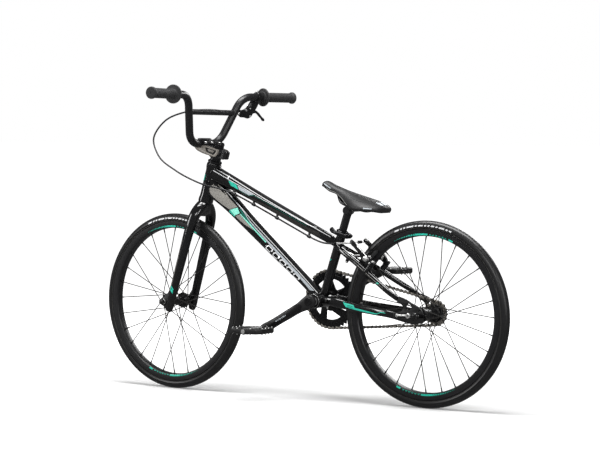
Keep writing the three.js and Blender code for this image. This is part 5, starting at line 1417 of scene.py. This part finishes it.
def build_saddle():
    rows = saddle_rows()
    shape = Shape()
    sections = []
    for t, width, crown, edge, rise in rows:
        over = [saddle_spot(rows, t, sin(radians(a)), 0) for a in range(-90, 91, 6)]
        under = []
        flat = min(1, max(0, (t - 185) / 20))  # the underside closes level at the tail
        for a in range(84, -85, -12):
            k = sin(radians(a))
            share = abs(k) + (1 - abs(k)) * flat
            under.append(Vector((t, k * width * 0.955,
                                 rise - crown * (0.92 + 0.08 * share) - edge * (0.35 + 0.65 * share))))
        sections.append(over + under)
    shape.add(loft(sections), 0)
    made = piece("saddle_shell", shape, [COVER], "seat", ["saddle"], matrix=SADDLE, crease=50)
    soften = made.modifiers.new("Soften", "SUBSURF")
    soften.levels = soften.render_levels = 1

    trim = Shape()
    mark = marker(trim, lambda x, v, lift, side: saddle_spot(rows, x, side * v, lift + 0.25))
    # The silver strips along the edge of the nose and along the edge of the tail are painted highlights; the
    # patch on the tail's top is a print.
    mark(1, [(13, 0.95), (24, 0.94), (40, 0.95)], [(13, 0.995), (24, 0.995), (40, 0.99)], step=3)
    mark(1, [(190, 0.06), (210, 0.06)], [(192, 0.34), (210, 0.42)], step=5)
    mark(1, [(180, 0.965), (201, 0.96)], [(181, 0.995), (202, 0.99)], step=4)
    for side in (1, -1):
        piping = [Vector((t, side * (width * 0.985 + 0.3), rise - crown - edge * 0.45))
                  for t, width, crown, edge, rise in rows if 24 < t < 120]
        trim.add(tube(piping, 0.7, 8), 0)
        seam = [saddle_spot(rows, t, side * (0.55 + 0.15 * min(1, t / 120)), 0) for t in range(12, 216, 6)]
        trim.add(tube(seam, 0.45, 6), 2)
    piece("saddle_trim_and_painted_highlights", trim, [PIPING, SILVER_PRINT_AND_HIGHLIGHT, RUBBER], "seat", matrix=SADDLE)

    half = [(190, RAIL_Y, -20), (182, RAIL_Y, -25), (168, RAIL_Y, -30), (150, RAIL_Y, -32), (98, RAIL_Y, -33),
            (84, 20, -31), (74, 15, -25), (66, 10, -19), (60, 6, -14), (56, 3, -12)]
    rails = spline(half + [(t, -y, h) for t, y, h in reversed(half)], 6)
    rail = Shape().add(tube(rails, RAIL_R, 20))
    for y in (RAIL_Y, -RAIL_Y):
        rail.add(disc(6.5, -5, 5, 1.4, 28), 0, facing((188, y, -19), (0.6, 0, 0.8)))
    bracket = [(58, -9), (62, -19), (70, -27), (82, -33), (100, -34), (104, -26), (96, -14)]
    rail.add(plate([bracket], -13, 13, 1.2), 0)
    piece("saddle_rail_wire", rail, [SATIN], "seat", ["saddle_rails"], matrix=SADDLE)

    post = Shape()
    outer = [(0, 62), (10.6, 62), (11.1, 62.6), (11.1, 252), (11.8, 256), (12, 262), (12, 265), (0, 265)]
    post.add(lathe(outer, 48), 0, UPRIGHT)
    post.add(disc(11.6, -14, 14, 1.5, 40), 0, facing((0, 0, 265), LEFT))
    clamp = SEAT.inverted() @ SADDLE
    for low, high in ((-42, -33.4), (-32.6, -26)):
        block = [oval(Vector((t, 0, (low + high) / 2)), LEFT, UP, 26, (high - low) / 2, 36, 5)
                 for t in (105, 107, 134, 136)]
        post.add(loft(block), 0, clamp)
    bolt = clamp @ facing((119, 0, -42), (0, 0, -1))
    post.socket_bolt(5, 5, 1, bolt)
    post.add(disc(3.2, -14, 2, 0.3, 20), 1, bolt)
    piece("seatpost_tube", post, [SATIN, STEEL], "seat", ["seatpost"], matrix=SEAT)


# ---------------------------------------------------------------- studio
CAMERA_PLACE, CAMERA_TARGET = Vector((-3.0966, 5.2010, 0.7692)), Vector((0.4115, 0, 0.4843))
FLOOR_REACH = 60


def build_studio():
    """The camera sees plain white, while the bike is lit by the lamps and a dimmer room."""
    world = bpy.data.worlds.new("studio")
    bpy.context.scene.world = world
    world.use_nodes = True
    tree = world.node_tree
    background = tree.nodes["Background"]
    background.inputs["Color"].default_value = (1, 1, 1, 1)
    path = node(tree, "LightPath")
    strength = node(tree, "MapRange", To_Min=0.14, To_Max=1.0)
    wire(tree, (path, "Is Camera Ray", strength, "Value"), (strength, "Result", background, "Strength"))

    floor_mesh = bpy.data.meshes.new("floor")
    corners = [(FLOOR_REACH * x, FLOOR_REACH * y, 0) for x, y in ((-1, -1), (1, -1), (1, 1), (-1, 1))]
    floor_mesh.from_pydata(corners, [], [(0, 1, 2, 3)])
    floor = bpy.data.objects.new("floor", floor_mesh)
    bpy.context.scene.collection.objects.link(floor)
    pale = look("pale_floor", (0.78, 0.78, 0.78), 0.8, spread=0.01, scale=3, bump=0)
    # The paper glows a little more away from the bike, so that it stays white beyond the lamps' reach.
    tree = pale.node_tree
    shader = tree.nodes["Principled BSDF"]
    shader.inputs["Specular IOR Level"].default_value = 0
    shader.inputs["Emission Color"].default_value = (1, 1, 1, 1)
    reach = node(tree, "VectorMath")
    reach.operation = "LENGTH"
    glow = node(tree, "MapRange", From_Min=0.7, From_Max=2.4, To_Min=0.08, To_Max=1.0)
    glow.interpolation_type = "SMOOTHSTEP"
    tree.links.new(tree.nodes["Texture Coordinate"].outputs["Object"], reach.inputs[0])
    wire(tree, (reach, "Value", glow, "Value"), (glow, "Result", shader, "Emission Strength"))
    floor_mesh.materials.append(pale)
    floor.visible_glossy = False

    def area(name, place, target, size, power):
        lamp = bpy.data.lights.new(name, "AREA")
        lamp.shape = "RECTANGLE"
        lamp.size, lamp.size_y = size
        lamp.energy = power
        made = bpy.data.objects.new(name, lamp)
        made.location = place
        made.rotation_euler = (Vector(target) - Vector(place)).to_track_quat("-Z", "Y").to_euler()
        bpy.context.scene.collection.objects.link(made)

    area("overhead", (0.4, 0.3, 2.8), (0.4, 0, 0.4), (2.4, 0.9), 95)
    area("left_front", (3.2, 2.2, 1.5), (0.5, 0, 0.4), (0.5, 1.6), 30)
    area("left_rear", (-3.0, 1.6, 1.4), (0.3, 0, 0.4), (0.5, 1.6), 24)
    area("left", (-1.6, 4.2, 2.6), (0.4, 0, 0.4), (1.6, 0.6), 40)
    area("right", (0.4, -3.0, 1.8), (0.4, 0, 0.4), (2.0, 0.7), 34)


def build_camera():
    camera = bpy.data.cameras.new("camera")
    camera.lens = 135
    camera.sensor_width = 36
    made = bpy.data.objects.new("camera", camera)
    made.location = CAMERA_PLACE
    aim = CAMERA_TARGET - made.location
    made.rotation_euler = aim.to_track_quat("-Z", "Y").to_euler()
    bpy.context.scene.collection.objects.link(made)
    bpy.context.scene.camera = made


bpy.context.scene.view_settings.view_transform = "Standard"
build_camera()
build_studio()
build_top_tube()
build_down_tube()
build_head_tube()
build_seat_tube()
build_bottom_bracket()
build_stays()
build_rear_ends()
REAR_HUB = dict(left=36, right=-31.5, half=54.3, shell=15, left_end=9.4, right_end=11.5)
FRONT_HUB = dict(left=34.5, right=-34.5, half=49.6, shell=12, left_end=9, right_end=9)
build_wheel("rear", Matrix.Translation(REAR_AXLE), REAR_HUB)
build_wheel("front", TURN @ Matrix.Translation(FRONT_AXLE), FRONT_HUB)
build_chainring_and_cranks()
build_chain()
build_freewheel()
build_fork()
build_stem()
build_bars()
build_lever()
build_rear_brake()
build_cable()
build_saddle()
